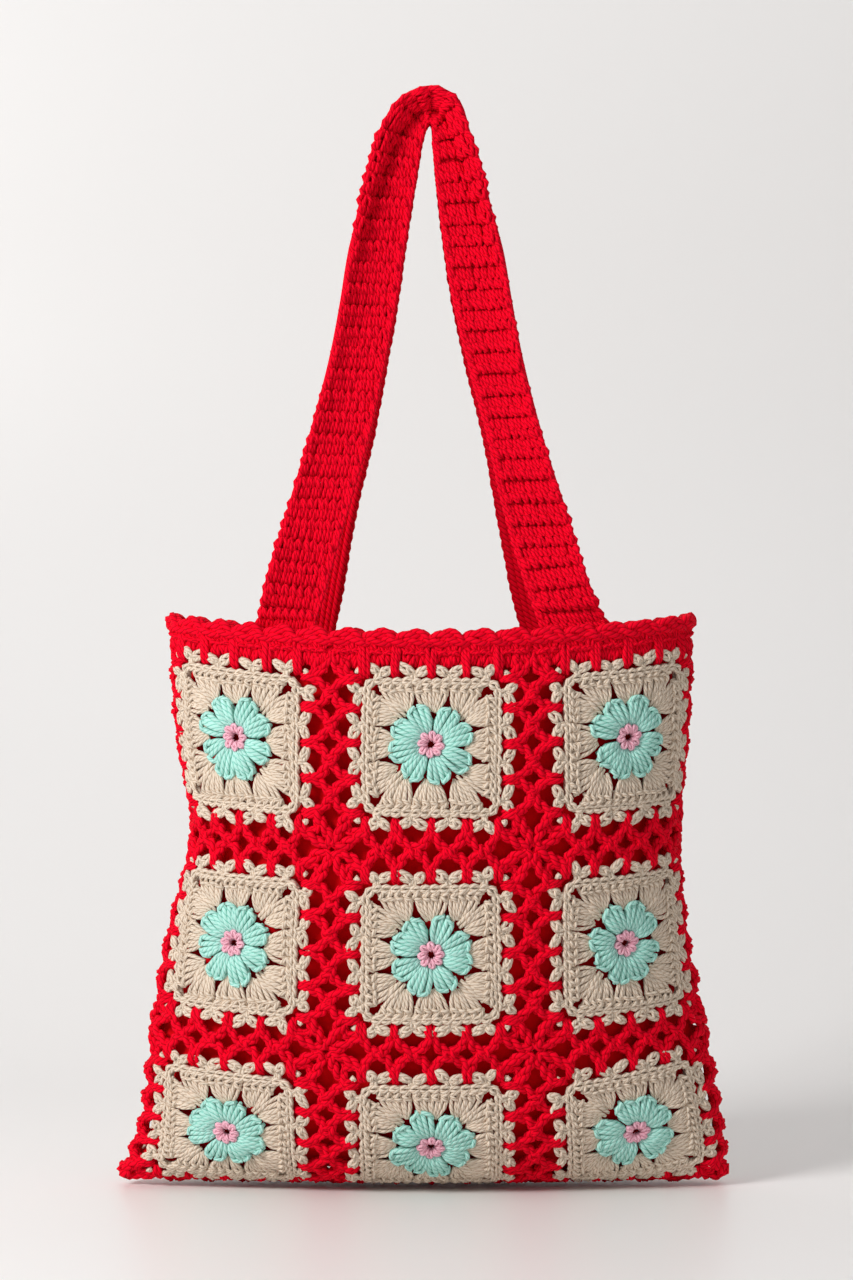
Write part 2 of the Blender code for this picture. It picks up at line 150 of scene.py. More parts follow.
class Colour(Enum):
    """The yarns and cloth: each one's own colour, then a darker colour that is painted shade down a yarn's
    ply grooves and a darker tone of random mottling on the lining cloth.
    """

    RED = ("#F20026", "#AE000F")
    CREAM = ("#E4D3C0", "#BDA287")
    MINT = ("#B6E6DA", "#7CC4B4")
    PINK = ("#F6BCCB", "#D98FA2")
    LINING = ("#EC0010", "#D2000C")


def linear(hex_colour: str) -> tuple[float, float, float, float]:
    """A colour code turned into the linear values that a shader takes."""
    channels = [int(hex_colour[k : k + 2], 16) / 255 for k in (1, 3, 5)]
    curve = [c / 12.92 if c <= 0.04045 else ((c + 0.055) / 1.055) ** 2.4 for c in channels]
    return (*curve, 1.0)


def add_node(tree: bpy.types.NodeTree, kind: str, inputs: dict | None = None, **settings: object):
    """One node of a tree.

    Args:
        tree: The tree it joins.
        kind: Its type name.
        inputs: Values or sockets for its inputs, by name or number.
        **settings: Properties of the node itself.

    Returns:
        The node.
    """
    made = tree.nodes.new(kind)
    for name, value in settings.items():
        setattr(made, name, value)
    for key, value in (inputs or {}).items():
        if isinstance(value, bpy.types.NodeSocket):
            tree.links.new(value, made.inputs[key])
        else:
            made.inputs[key].default_value = value
    return made


# Surfaces


def smooth_rows(rows: Sequence, at: np.ndarray) -> np.ndarray:
    """Rows of a table read at places between them, along a smooth curve through each column.

    Args:
        rows: The table, with the places in its first column.
        at: Where to read it.

    Returns:
        One row of the other columns for each place.
    """
    table = np.asarray(rows, float)
    knots, values = table[:, 0], table[:, 1:]
    steps = np.diff(knots)[:, None]
    slopes = np.diff(values, axis=0) / steps
    tangents = np.zeros_like(values)
    tangents[0], tangents[-1] = slopes[0], slopes[-1]
    tangents[1:-1] = (slopes[:-1] * steps[1:] + slopes[1:] * steps[:-1]) / (steps[1:] + steps[:-1])
    at = np.clip(np.atleast_1d(at), knots[0], knots[-1])
    span = np.clip(np.searchsorted(knots, at, side="right") - 1, 0, len(knots) - 2)
    width = (knots[span + 1] - knots[span])[:, None]
    t = (at[:, None] - knots[span][:, None]) / width
    first, last = values[span], values[span + 1]
    bend_first, bend_last = tangents[span] * width, tangents[span + 1] * width
    cubic = (2 * t**3 - 3 * t**2 + 1) * first + (t**3 - 2 * t**2 + t) * bend_first
    return cubic + (-2 * t**3 + 3 * t**2) * last + (t**3 - t**2) * bend_last


def read_grid(grid: np.ndarray, i: np.ndarray, j: np.ndarray) -> np.ndarray:
    """A grid of vectors read between its points."""
    i0 = np.clip(i.astype(int), 0, grid.shape[0] - 2)
    j0 = np.clip(j.astype(int), 0, grid.shape[1] - 2)
    a, b = (i - i0)[:, None], (j - j0)[:, None]
    top = grid[i0, j0] * (1 - b) + grid[i0, j0 + 1] * b
    low = grid[i0 + 1, j0] * (1 - b) + grid[i0 + 1, j0 + 1] * b
    return top * (1 - a) + low * a


class BagSurface:
    """The filled bag's cloth as a map from the flat panel to space.

    u runs round the bag from the middle of the front, v down the panel from the mouth, and h outwards.
    """

    def __init__(self) -> None:
        """Works out the grid of points and outward directions of the front half."""
        self.top = SECTIONS[0][0] * DROP
        self.down = np.linspace(self.top, DROP, GRID_DOWN)
        self.across = np.linspace(-QUARTER, QUARTER, 2 * GRID_ACROSS + 1)
        sections = smooth_rows(SECTIONS, self.down / DROP)
        self.points = np.array([self.section(row) for row in sections])
        self.normals = self.outward()

    def section(self, row: np.ndarray) -> np.ndarray:
        """Half a ring at one height, front only, at even steps of arc length."""
        left, right, depth, middle, side, sharp = row
        angle = np.linspace(0, math.pi / 2, 8 * GRID_ACROSS + 1)
        halves = []
        for width in (left, right):
            x = width * QUARTER * np.sin(angle)
            y = -depth * MOUTH_HALF_DEPTH * np.cos(angle) ** (2 * sharp)
            length = np.concatenate([[0], np.cumsum(np.hypot(np.diff(x), np.diff(y)))])
            even = np.linspace(0, length[-1], GRID_ACROSS + 1)
            halves.append((np.interp(even, length, x), np.interp(even, length, y)))
        x = np.concatenate([-halves[0][0][:0:-1], halves[1][0]])
        y = np.concatenate([halves[0][1][:0:-1], halves[1][1]])
        fall = middle + (side - middle) * (self.across / QUARTER) ** 2
        return np.stack([x, y, -RIM_BELOW_PEAK - fall * BAG_HEIGHT], axis=1)

    def outward(self) -> np.ndarray:
        """Unit normals of the grid, pointing out of the bag."""
        by_down = np.gradient(self.points, self.down, axis=0)
        by_across = np.gradient(self.points, self.across, axis=1)
        normals = np.cross(by_down, by_across)
        normals[:, 0] = (-1, 0, 0)
        normals[:, -1] = (1, 0, 0)
        normals[-1, :, 1] = 0
        normals[-1, 0] = (-1, 0, -1)
        normals[-1, -1] = (1, 0, -1)
        return normals / np.linalg.norm(normals, axis=2, keepdims=True)

    def place(self, flat: np.ndarray) -> np.ndarray:
        """The points of space over flat points.

        Args:
            flat: One row of u, v and h for each point, in metres. Past the seam underneath, v goes on
                up the other face.

        Returns:
            One row of x, y and z for each point.
        """
        u, v, h = (np.array(column) for column in flat.T)
        under = v > DROP
        u = np.where(under, 2 * QUARTER - u, u)
        v = np.where(under, 2 * DROP - v, v)
        u = (u + 2 * QUARTER) % ROUND - 2 * QUARTER
        behind = np.abs(u) > QUARTER
        u = np.where(behind, np.copysign(2 * QUARTER, u) - u, u)
        i = (v - self.top) / (DROP - self.top) * (GRID_DOWN - 1)
        j = (u + QUARTER) / (2 * QUARTER) * (2 * GRID_ACROSS)
        normal = read_grid(self.normals, i, j)
        normal /= np.linalg.norm(normal, axis=1, keepdims=True)
        found = read_grid(self.points, i, j) + normal * h[:, None]
        found[behind, 1] *= -1
        return found


class Side(Enum):
    """The handle in front or the one behind, with its side in y."""

    FRONT = -1
    BACK = 1


class HandleSurface:
    """One handle's band as a map from the flat band to space.

    s runs along the band from its left foot, c across it from the inner edge, and h out of its face.
    """

    STEPS_ALONG = 480
    STEPS_ACROSS = 13

    def __init__(self, bag: BagSurface, which: Side) -> None:
        """Works out the grid of points and directions.

        Args:
            bag: The surface that its feet are sewn to.
            which: The front or the back handle.
        """
        side = which.value
        rows = self.stations(bag, side)
        steps = np.linalg.norm(np.diff(rows.mean(axis=1), axis=0), axis=1)
        along = np.concatenate([[0], np.cumsum(steps)])
        self.length = float(along[-1])
        table = np.concatenate([along[:, None], rows.reshape(len(rows), -1)], axis=1)
        places = np.linspace(0, self.length, self.STEPS_ALONG)
        coarse = smooth_rows(table, places).reshape(self.STEPS_ALONG, len(BAND_PROFILE), 3)
        knots = np.array([place for place, _ in BAND_PROFILE])
        across = np.linspace(0, 1, self.STEPS_ACROSS)
        lanes = coarse.transpose(1, 0, 2).reshape(len(knots), -1)
        swapped = np.concatenate([knots[:, None], lanes], axis=1)
        fine = smooth_rows(swapped, across).reshape(self.STEPS_ACROSS, self.STEPS_ALONG, 3)
        self.points = fine.transpose(1, 0, 2)
        self.points = self.points + self.outward(side) * self.fold(places, across)[:, :, None]
        self.normals = self.outward(side)

    def outward(self, side: int) -> np.ndarray:
        """Unit normals of the band's outer face."""
        by_length = np.gradient(self.points, axis=0)
        by_width = np.gradient(self.points, axis=1)
        normals = np.cross(by_length, by_width)
        normals /= np.linalg.norm(normals, axis=2, keepdims=True)
        return normals * np.sign(np.sum(normals * (0, side, 0), axis=2, keepdims=True))

    def fold(self, places: np.ndarray, across: np.ndarray) -> np.ndarray:
        """How far the band stands out where its outer third rolls up beside a crease near the peak."""
        away = np.abs(places - self.length / 2)[:, None]
        crease = 0.42 + 0.48 * np.clip(away / 0.115, 0, 1)
        strength = np.exp(-((away / 0.105) ** 4))
        beyond = np.clip((across[None] - crease) / (1.02 - crease), 0, 1)
        roll = 0.0040 * np.sin(math.pi * beyond**0.8)
        valley = -0.0042 * np.exp(-(((across[None] - crease) / 0.085) ** 2))
        return strength * (roll + valley)

    @staticmethod
    def stations(bag: BagSurface, side: int) -> np.ndarray:
        """Points across the band at stations from one foot to the other."""
        foot = bag.place(np.array([(HANDLE_REACH, 0.0, -BAND_THICKNESS / 2)]))
        foot_y = abs(foot[0, 1])
        peak_y = PEAK_HALF_GAP + BAND_THICKNESS / 2
        peak_share, foot_share = (1.0, 1.0) if side < 0 else (BACK_HANDLE_SHARE, BACK_FOOT_SHARE)
        rows = []
        for across_in, down_in, across_out, down_out, curl in HANDLE_STATIONS:
            points = []
            for place, roll in BAND_PROFILE:
                fall = down_in + (down_out - down_in) * place
                drawn = peak_share + (foot_share - peak_share) * max(fall, 0.0) ** BACK_NARROWING
                x = (across_in + (across_out - across_in) * place) * HANDLE_REACH * drawn
                y = peak_y + (foot_y - peak_y) * max(fall, 0.0) + curl * roll * BAND_WIDTH
                points.append((x, side * y, -fall * RIM_BELOW_PEAK))
            rows.append(points)
        feet = []
        for foot in (LEFT_FOOT, RIGHT_FOOT):
            for v, (inner, outer) in zip((HANDLE_TAIL, SCALLOP_HEIGHT / 2), foot):
                steps = [inner + (outer - inner) * place for place, _ in BAND_PROFILE]
                u = [step * HANDLE_REACH * foot_share for step in steps]
                u = [x if side < 0 else 2 * QUARTER - x for x in u]
                feet.append(bag.place(np.array([(x, v, -FOOT_INSET - BAND_THICKNESS / 2) for x in u])))
        left_tail, left_top, right_tail, right_top = feet
        return np.array([left_tail, left_top, *rows, right_top, right_tail])

    def place(self, flat: np.ndarray) -> np.ndarray:
        """The points of space over points of the flat band, given as rows of s, c and h in metres."""
        s, c, h = flat.T
        i = np.clip(s / self.length, 0, 1) * (self.STEPS_ALONG - 1)
        j = np.clip(c / BAND_WIDTH, -0.04, 1.04) * (self.STEPS_ACROSS - 1)
        normal = read_grid(self.normals, i, j)
        normal /= np.linalg.norm(normal, axis=1, keepdims=True)
        return read_grid(self.points, i, j) + normal * h[:, None]


# Yarn


def smooth_path(control: Sequence, steps: int, closed: bool = False) -> np.ndarray:
    """A smooth curve through control points.

    Args:
        control: The points, with any number of columns.
        steps: How many steps to take from each point to the next.
        closed: Whether the last point joins the first.

    Returns:
        The points along the curve.
    """
    knots = np.asarray(control, float)
    if closed:
        padded = np.vstack([knots[-1], knots, knots[:2]])
    else:
        padded = np.vstack([2 * knots[0] - knots[1], knots, 2 * knots[-1] - knots[-2]])
    spans = len(padded) - 3
    a, b, c, d = (padded[k : k + spans][:, None] for k in range(4))
    t = np.linspace(0, 1, steps, endpoint=False)[None, :, None]
    path = 0.5 * (2 * b + (c - a) * t + (2 * a - 5 * b + 4 * c - d) * t**2 + (3 * b - a - 3 * c + d) * t**3)
    path = path.reshape(-1, knots.shape[1])
    return path if closed else np.vstack([path, knots[-1:]])


@dataclass(frozen=True)
class Strand:
    """A length of yarn laid flat: rows of across, up, height and radius, in millimetres."""

    rows: np.ndarray
    closed: bool = False

    def moved(self, turn: float, centre: tuple[float, float]) -> Strand:
        """The same strand turned about its origin and shifted."""
        rows = self.rows.copy()
        rows[:, 0] = centre[0] + self.rows[:, 0] * math.cos(turn) - self.rows[:, 1] * math.sin(turn)
        rows[:, 1] = centre[1] + self.rows[:, 0] * math.sin(turn) + self.rows[:, 1] * math.cos(turn)
        return Strand(rows, self.closed)


def strand(control: Sequence, steps: int = 2, closed: bool = False) -> Strand:
    """A strand along a smooth curve through its control rows."""
    return Strand(smooth_path(control, steps, closed), closed)


def beside(start: Sequence, end: Sequence, rows: Sequence) -> np.ndarray:
    """Control rows placed along a line.

    Args:
        start: Across and up where the line starts.
        end: Across and up where it ends.
        rows: Share of the line, distance to its left, height and radius.

    Returns:
        Rows of across, up, height and radius.
    """
    table = np.asarray(rows, float)
    first, last = np.asarray(start, float), np.asarray(end, float)
    way = last - first
    left = np.array([-way[1], way[0]]) / np.linalg.norm(way)
    flat = first + table[:, :1] * way + table[:, 1:2] * left
    return np.column_stack([flat, table[:, 2:]])


def post(
    start: Sequence,
    end: Sequence,
    width: float,
    low: float,
    high: float,
    radius: float,
    wraps: Sequence[float] = (0.62, 0.86),
    foot: float = 0.3,
) -> list[Strand]:
    """An upright stitch: two legs that widen from a narrow foot, with wraps across them.

    Args:
        start: Where its foot is.
        end: Where its top is.
        width: How far apart the legs are at the top.
        low: The height of its ends.
        high: The height of its middle.
        radius: The radius of a leg.
        wraps: Shares of its length at which a strand crosses over.
        foot: The width at the foot as a share of the width.

    Returns:
        Its strands.
    """
    made = []
    for side in (-0.5, 0.5):
        w = side * width
        legs = [
            (0.0, w * foot, low, radius * 0.85),
            (0.45, w * (foot + 0.95) / 1.9 * 1.1, high, radius * 1.05),
            (1.0, w, low + 0.4, radius),
        ]
        made.append(strand(beside(start, end, legs), 2))
    for k, share in enumerate(wraps):
        lean = 0.10 if k % 2 == 0 else -0.10
        across = [
            (share - lean, -width * 0.95, low + 0.3, radius * 0.8),
            (share, 0.0, high + radius * 0.7, radius),
            (share + lean, width * 0.95, low + 0.3, radius * 0.8),
        ]
        made.append(strand(beside(start, end, across), 2))
    return made


class Line:
    """A path read at any distance along it, with its direction to the left."""

    def __init__(self, path: Sequence, closed: bool = False) -> None:
        """Measures the path, given as rows of across and up."""
        self.points = np.asarray(path, float)
        if closed:
            self.points = np.vstack([self.points, self.points[:1]])
        steps = np.linalg.norm(np.diff(self.points, axis=0), axis=1)
        self.at = np.concatenate([[0], np.cumsum(steps)])
        self.length = float(self.at[-1])
        self.closed = closed

    def read(self, s: np.ndarray, left: np.ndarray) -> np.ndarray:
        """Points at distances along the line and to the left of it."""
        if self.closed:
            s = s % self.length
        here = np.stack([np.interp(s, self.at, self.points[:, k]) for k in (0, 1)], axis=1)
        reach = self.length / len(self.at) / 4
        ahead, behind = s + reach, s - reach
        if self.closed:
            ahead, behind = ahead % self.length, behind % self.length
        way = np.stack(
            [
                np.interp(ahead, self.at, self.points[:, k]) - np.interp(behind, self.at, self.points[:, k])
                for k in (0, 1)
            ],
            axis=1,
        )
        way /= np.linalg.norm(way, axis=1, keepdims=True) + 1e-9
        return here + np.stack([-way[:, 1], way[:, 0]], axis=1) * left[:, None]


def chain(
    line: Line, pitch: float, width: float, height: float, radius: float, steps: int = 2
) -> list[Strand]:
    """A line of chain stitches, each a pair of legs that lean out and close over the next.

    Args:
        line: The line that they follow.
        pitch: The length of a stitch.
        width: How far a leg stands from the line.
        height: The height of the line.
        radius: The radius of a leg.
        steps: Steps between a leg's control rows.

    Returns:
        Its strands.
    """
    count = max(1, round(line.length / pitch))
    share = np.array([-0.12, 0.52, 1.12])
    made = []
    for k in range(count):
        for side in (-1, 1):
            s = (k + share) / count * line.length
            flat = line.read(s, side * width * np.array([0.1, 1.1, 0.1]))
            lift = height + radius * np.array([-0.5, 0.6, -0.4])
            thick = radius * np.array([0.85, 1.1, 0.85])
            made.append(strand(np.column_stack([flat, lift, thick]), steps))
    return made


def cord(
    line: Line,
    plies: int,
    spread: float,
    lay: float,
    height: float,
    radius: float,
    step: float,
    phase: float = 0.0,
) -> list[Strand]:
    """Several strands twisted round a line.

    Args:
        line: The line that they follow.
        plies: How many strands.
        spread: How far each stands from the line.
        lay: The length of one turn.
        height: The height of the line.
        radius: The radius of a strand.
        step: The distance between its points.
        phase: Where the first strand starts, in radians.

    Returns:
        Its strands.
    """
    count = max(3, round(line.length / step))
    s = np.linspace(0, line.length, count, endpoint=not line.closed)
    turns = round(line.length / lay) if line.closed else line.length / lay
    made = []
    for k in range(plies):
        angle = phase + 2 * math.pi * (k / plies + s / line.length * turns)
        flat = line.read(s, spread * np.cos(angle))
        rows = np.column_stack([flat, height + spread * 0.7 * np.sin(angle), np.full(count, radius)])
        made.append(Strand(rows, line.closed))
    return made


def arc(points: Sequence, steps: int = 5) -> Line:
    """A smooth open line through a few flat points."""
    return Line(smooth_path(points, steps))


@dataclass
class Skein:
    """The strands of one crocheted piece, in space."""

    place: PlaceOn
    sides: int = 5
    rng: np.random.Generator = field(default_factory=lambda: np.random.default_rng(7))
    points: list[np.ndarray] = field(default_factory=list)
    thickness: list[np.ndarray] = field(default_factory=list)
    along: list[np.ndarray] = field(default_factory=list)
    shade: list[np.ndarray] = field(default_factory=list)
    edges: list[np.ndarray] = field(default_factory=list)
    count: int = 0

    def lay(
        self, strands: Sequence[Strand], origin: tuple[float, float] = (0.0, 0.0), wobble: float = 0.12
    ) -> None:
        """Lays strands on the surface.

        Args:
            strands: The strands, in millimetres, with up against the surface's second direction.
            origin: The flat point in metres that their own origin falls on.
            wobble: How far, in millimetres, yarn strays from its path.
        """
        for one in strands:
            rows = one.rows + self.rng.normal(0, wobble, (1, 4)) * (1, 1, 0.6, 0.25)
            u = origin[0] + rows[:, 0] * MM
            v = origin[1] - rows[:, 1] * MM
            flat = np.column_stack([u, v, rows[:, 2] * MM])
            found = self.place(flat)
            steps = np.linalg.norm(np.diff(found, axis=0), axis=1)
            number = len(found)
            first = self.count
            self.points.append(found)
            self.thickness.append(rows[:, 3] * MM)
            self.along.append(np.concatenate([[0], np.cumsum(steps)]) + self.rng.uniform(0, 0.02))
            self.shade.append(np.full(number, self.rng.uniform(0, 1)))
            links = np.column_stack([np.arange(number - 1), np.arange(1, number)])
            if one.closed:
                links = np.vstack([links, [(number - 1, 0)]])
            self.edges.append(links + first)
            self.count += number

    def guide(self, name: str) -> bpy.types.Object:
        """The strands as a mesh of edges, with their sizes as attributes."""
        mesh = bpy.data.meshes.new(name)
        points = np.vstack(self.points)
        edges = np.vstack(self.edges)
        mesh.vertices.add(len(points))
        mesh.vertices.foreach_set("co", points.ravel())
        mesh.edges.add(len(edges))
        mesh.edges.foreach_set("vertices", edges.ravel())
        kept = {"thickness": self.thickness, "along": self.along, "shade": self.shade}
        for attribute, values in kept.items():
            layer = mesh.attributes.new(attribute, "FLOAT", "POINT")
            layer.data.foreach_set("value", np.concatenate(values))
        mesh.update()
        made = bpy.data.objects.new(name, mesh)
        bpy.context.scene.collection.objects.link(made)
        return made


class YarnSpinner:
    """The Geometry Nodes tree that turns guide lines into round yarn."""

    def __init__(self) -> None:
        """Builds the tree with inputs for the number of sides and the material."""
        tree = bpy.data.node_groups.new("spin yarn", "GeometryNodeTree")
        face = tree.interface
        face.new_socket("Geometry", in_out="INPUT", socket_type="NodeSocketGeometry")
        face.new_socket("Sides", in_out="INPUT", socket_type="NodeSocketInt")
        face.new_socket("Yarn", in_out="INPUT", socket_type="NodeSocketMaterial")
        face.new_socket("Geometry", in_out="OUTPUT", socket_type="NodeSocketGeometry")
        given = add_node(tree, "NodeGroupInput")
        curve = add_node(tree, "GeometryNodeMeshToCurve", {"Mesh": given.outputs["Geometry"]})
        circle = add_node(
            tree, "GeometryNodeCurvePrimitiveCircle", {"Resolution": given.outputs["Sides"], "Radius": 1.0}
        )
        spot = add_node(tree, "GeometryNodeInputPosition")
        ring = add_node(
            tree,
            "GeometryNodeStoreNamedAttribute",
            {"Geometry": circle.outputs["Curve"], "Name": "ring"},
            data_type="FLOAT_VECTOR",
            domain="POINT",
        )
        tree.links.new(spot.outputs["Position"], ring.inputs["Value"])
        thickness = add_node(
            tree, "GeometryNodeInputNamedAttribute", {"Name": "thickness"}, data_type="FLOAT"
        )
        tube = add_node(
            tree,
            "GeometryNodeCurveToMesh",
            {
                "Curve": curve.outputs["Curve"],
                "Profile Curve": ring.outputs["Geometry"],
                "Scale": thickness.outputs["Attribute"],
                "Fill Caps": True,
            },
        )
        smooth = add_node(tree, "GeometryNodeSetShadeSmooth", {"Geometry": tube.outputs["Mesh"]})
        real = add_node(tree, "GeometryNodeRealizeInstances", {"Geometry": smooth.outputs["Geometry"]})
        dressed = add_node(
            tree,
            "GeometryNodeSetMaterial",
            {"Geometry": real.outputs["Geometry"], "Material": given.outputs["Yarn"]},
        )
        add_node(tree, "NodeGroupOutput", {"Geometry": dressed.outputs["Geometry"]})
        self.tree = tree

    def spin(self, name: str, skein: Skein, material: bpy.types.Material) -> bpy.types.Object:
        """The plain mesh object of a skein's yarn.

        Args:
            name: The object's name.
            skein: Its strands.
            material: Its yarn.

        Returns:
            The object, with no modifier left on it.
        """
        guide = skein.guide(name + "_guide")
        modifier = guide.modifiers.new("spin", "NODES")
        modifier.node_group = self.tree
        sockets = self.tree.interface.items_tree
        names = {item.name: item.identifier for item in sockets if item.in_out == "INPUT"}
        modifier[names["Sides"]] = skein.sides
        modifier[names["Yarn"]] = material
        bpy.context.view_layer.update()
        graph = bpy.context.evaluated_depsgraph_get()
        mesh = bpy.data.meshes.new_from_object(guide.evaluated_get(graph))
        bpy.data.objects.remove(guide, do_unlink=True)
        mesh.name = name
        made = bpy.data.objects.new(name, mesh)
        bpy.context.scene.collection.objects.link(made)
        triangles = sum(len(p.vertices) - 2 for p in mesh.polygons)
        LOG.info("%s: %d strands, %d triangles", name, len(skein.points), triangles)
        return made


# Finishes


@dataclass(frozen=True)
class YarnFinish:
    """Spun acrylic yarn: plies that twist round it, with shade painted down the grooves between them, soft
    fibres and a matt bloom.
    """

    name: str
    colour: Colour
    plies: int = 3
    lay: float = 0.011
    relief: float = 0.00035
    roughness: float = 0.85
    bloom: float = 0.06
    unevenness: float = 0.10

    def material(self) -> bpy.types.Material:
        """The yarn as a material that reads the attributes of its tubes."""
        made = bpy.data.materials.new(self.name)
        made.use_nodes = True
        tree = made.node_tree
        shader = tree.nodes["Principled BSDF"]
        lit, groove_shade_and_mottle = (linear(code) for code in self.colour.value)
        ring = add_node(tree, "ShaderNodeAttribute", attribute_name="ring")
        around = add_node(tree, "ShaderNodeSeparateXYZ", {0: ring.outputs["Vector"]})
        angle = add_node(
            tree, "ShaderNodeMath", {0: around.outputs["Y"], 1: around.outputs["X"]}, operation="ARCTAN2"
        )
        along = add_node(tree, "ShaderNodeAttribute", attribute_name="along")
        twist = add_node(
            tree,
            "ShaderNodeMath",
            {0: along.outputs["Fac"], 1: 2 * math.pi / self.lay},
            operation="MULTIPLY",
        )
        total = add_node(
            tree, "ShaderNodeMath", {0: angle.outputs["Value"], 1: twist.outputs["Value"]}, operation="ADD"
        )
        halves = {0: total.outputs["Value"], 1: self.plies / 2}
        phase = add_node(tree, "ShaderNodeMath", halves, operation="MULTIPLY")
        wave = add_node(tree, "ShaderNodeMath", {0: phase.outputs["Value"]}, operation="SINE")
        ply = add_node(tree, "ShaderNodeMath", {0: wave.outputs["Value"]}, operation="ABSOLUTE")
        spot = add_node(tree, "ShaderNodeTexCoord")
        fibres = add_node(
            tree, "ShaderNodeTexNoise", {"Vector": spot.outputs["Object"], "Scale": 1800.0, "Detail": 2.0}
        )
        height = add_node(
            tree,
            "ShaderNodeMath",
            {0: fibres.outputs["Fac"], 1: 0.35, 2: ply.outputs["Value"]},
            operation="MULTIPLY_ADD",
        )
        bump = add_node(
            tree,
            "ShaderNodeBump",
            {"Height": height.outputs["Value"], "Distance": self.relief, "Strength": 0.8},
        )
        # Painted shade: the colour darkens to the groove colour where the ply pattern runs low, between the
        # plies.
        body = add_node(
            tree,
            "ShaderNodeMapRange",
            {"Value": ply.outputs["Value"], "From Min": 0.05, "From Max": 0.6},
            interpolation_type="SMOOTHSTEP",
        )
        blend = {"Factor": body.outputs["Result"], "A": groove_shade_and_mottle, "B": lit}
        colour = add_node(tree, "ShaderNodeMix", blend, data_type="RGBA")
        shade = add_node(tree, "ShaderNodeAttribute", attribute_name="shade")
        patches = add_node(
            tree, "ShaderNodeTexNoise", {"Vector": spot.outputs["Object"], "Scale": 160.0, "Detail": 2.0}
        )
        both = add_node(
            tree, "ShaderNodeMath", {0: shade.outputs["Fac"], 1: patches.outputs["Fac"]}, operation="ADD"
        )
        value = add_node(
            tree,
            "ShaderNodeMapRange",
            {
                "Value": both.outputs["Value"],
                "From Min": 0.3,
                "From Max": 1.7,
                "To Min": 1 - self.unevenness,
                "To Max": 1 + self.unevenness / 2,
            },
        )
        toned = add_node(
            tree,
            "ShaderNodeHueSaturation",
            {"Color": colour.outputs["Result"], "Value": value.outputs["Result"]},
        )
        tree.links.new(toned.outputs["Color"], shader.inputs["Base Color"])
        tree.links.new(bump.outputs["Normal"], shader.inputs["Normal"])
        shader.inputs["Roughness"].default_value = self.roughness
        shader.inputs["Specular IOR Level"].default_value = 0.08
        shader.inputs["Sheen Weight"].default_value = self.bloom
        shader.inputs["Sheen Roughness"].default_value = 0.45
        shader.inputs["Sheen Tint"].default_value = lit
        made.diffuse_color = lit
        return made


@dataclass(frozen=True)
class ClothFinish:
    """Smooth, matt woven lining cloth."""

    name: str
    colour: Colour
    thread: float = 0.00045
    relief: float = 0.00006
    roughness: float = 0.9

    def material(self) -> bpy.types.Material:
        """The cloth as a material with a fine weave and soft mottling."""
        made = bpy.data.materials.new(self.name)
        made.use_nodes = True
        tree = made.node_tree
        shader = tree.nodes["Principled BSDF"]
        lit, groove_shade_and_mottle = (linear(code) for code in self.colour.value)
        spot = add_node(tree, "ShaderNodeTexCoord")
        weave = add_node(
            tree,
            "ShaderNodeTexNoise",
            {"Vector": spot.outputs["Object"], "Scale": 1 / self.thread, "Detail": 1.0},
        )
        bump = add_node(
            tree,
            "ShaderNodeBump",
            {"Height": weave.outputs["Fac"], "Distance": self.relief, "Strength": 0.5},
        )
        patches = add_node(tree, "ShaderNodeTexNoise", {"Vector": spot.outputs["Object"], "Scale": 40.0})
        colour = add_node(
            tree, "ShaderNodeMix", {"Factor": patches.outputs["Fac"], "A": groove_shade_and_mottle, "B": lit}, data_type="RGBA"
        )
        tree.links.new(colour.outputs["Result"], shader.inputs["Base Color"])
        tree.links.new(bump.outputs["Normal"], shader.inputs["Normal"])
        shader.inputs["Roughness"].default_value = self.roughness
        shader.inputs["Sheen Weight"].default_value = 0.0
        shader.inputs["Specular IOR Level"].default_value = 0.1
        made.diffuse_color = lit
        return made


@dataclass(frozen=True)
class PlainFinish:
    """A plain painted surface of the studio."""

    name: str
    colour: str
    roughness: float

    def material(self) -> bpy.types.Material:
        """The surface as a material of one colour."""
        made = bpy.data.materials.new(self.name)
        made.use_nodes = True
        shader = made.node_tree.nodes["Principled BSDF"]
        shader.inputs["Base Color"].default_value = linear(self.colour)
        shader.inputs["Roughness"].default_value = self.roughness
        return made


# Pieces


@dataclass
class Workshop:
    """What every piece is made with: the surface, the spinner and the yarns."""

    bag: BagSurface
    spinner: YarnSpinner
    yarns: dict[Colour, bpy.types.Material]

    def finish(
        self, name: str, skein: Skein, colour: Colour, nodes: Sequence[str], slot: str
    ) -> bpy.types.Object:
        """Spins a skein and puts it in place of its nodes.

        Args:
            name: The finished object's name.
            skein: Its strands.
            colour: Its yarn.
            nodes: The nodes of the part that it stands for.
            slot: Not used.

        Returns:
            The finished object.
        """
        made = self.spinner.spin(name, skein, self.yarns[colour])
        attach(made, "root")
        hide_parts(*nodes)
        return made


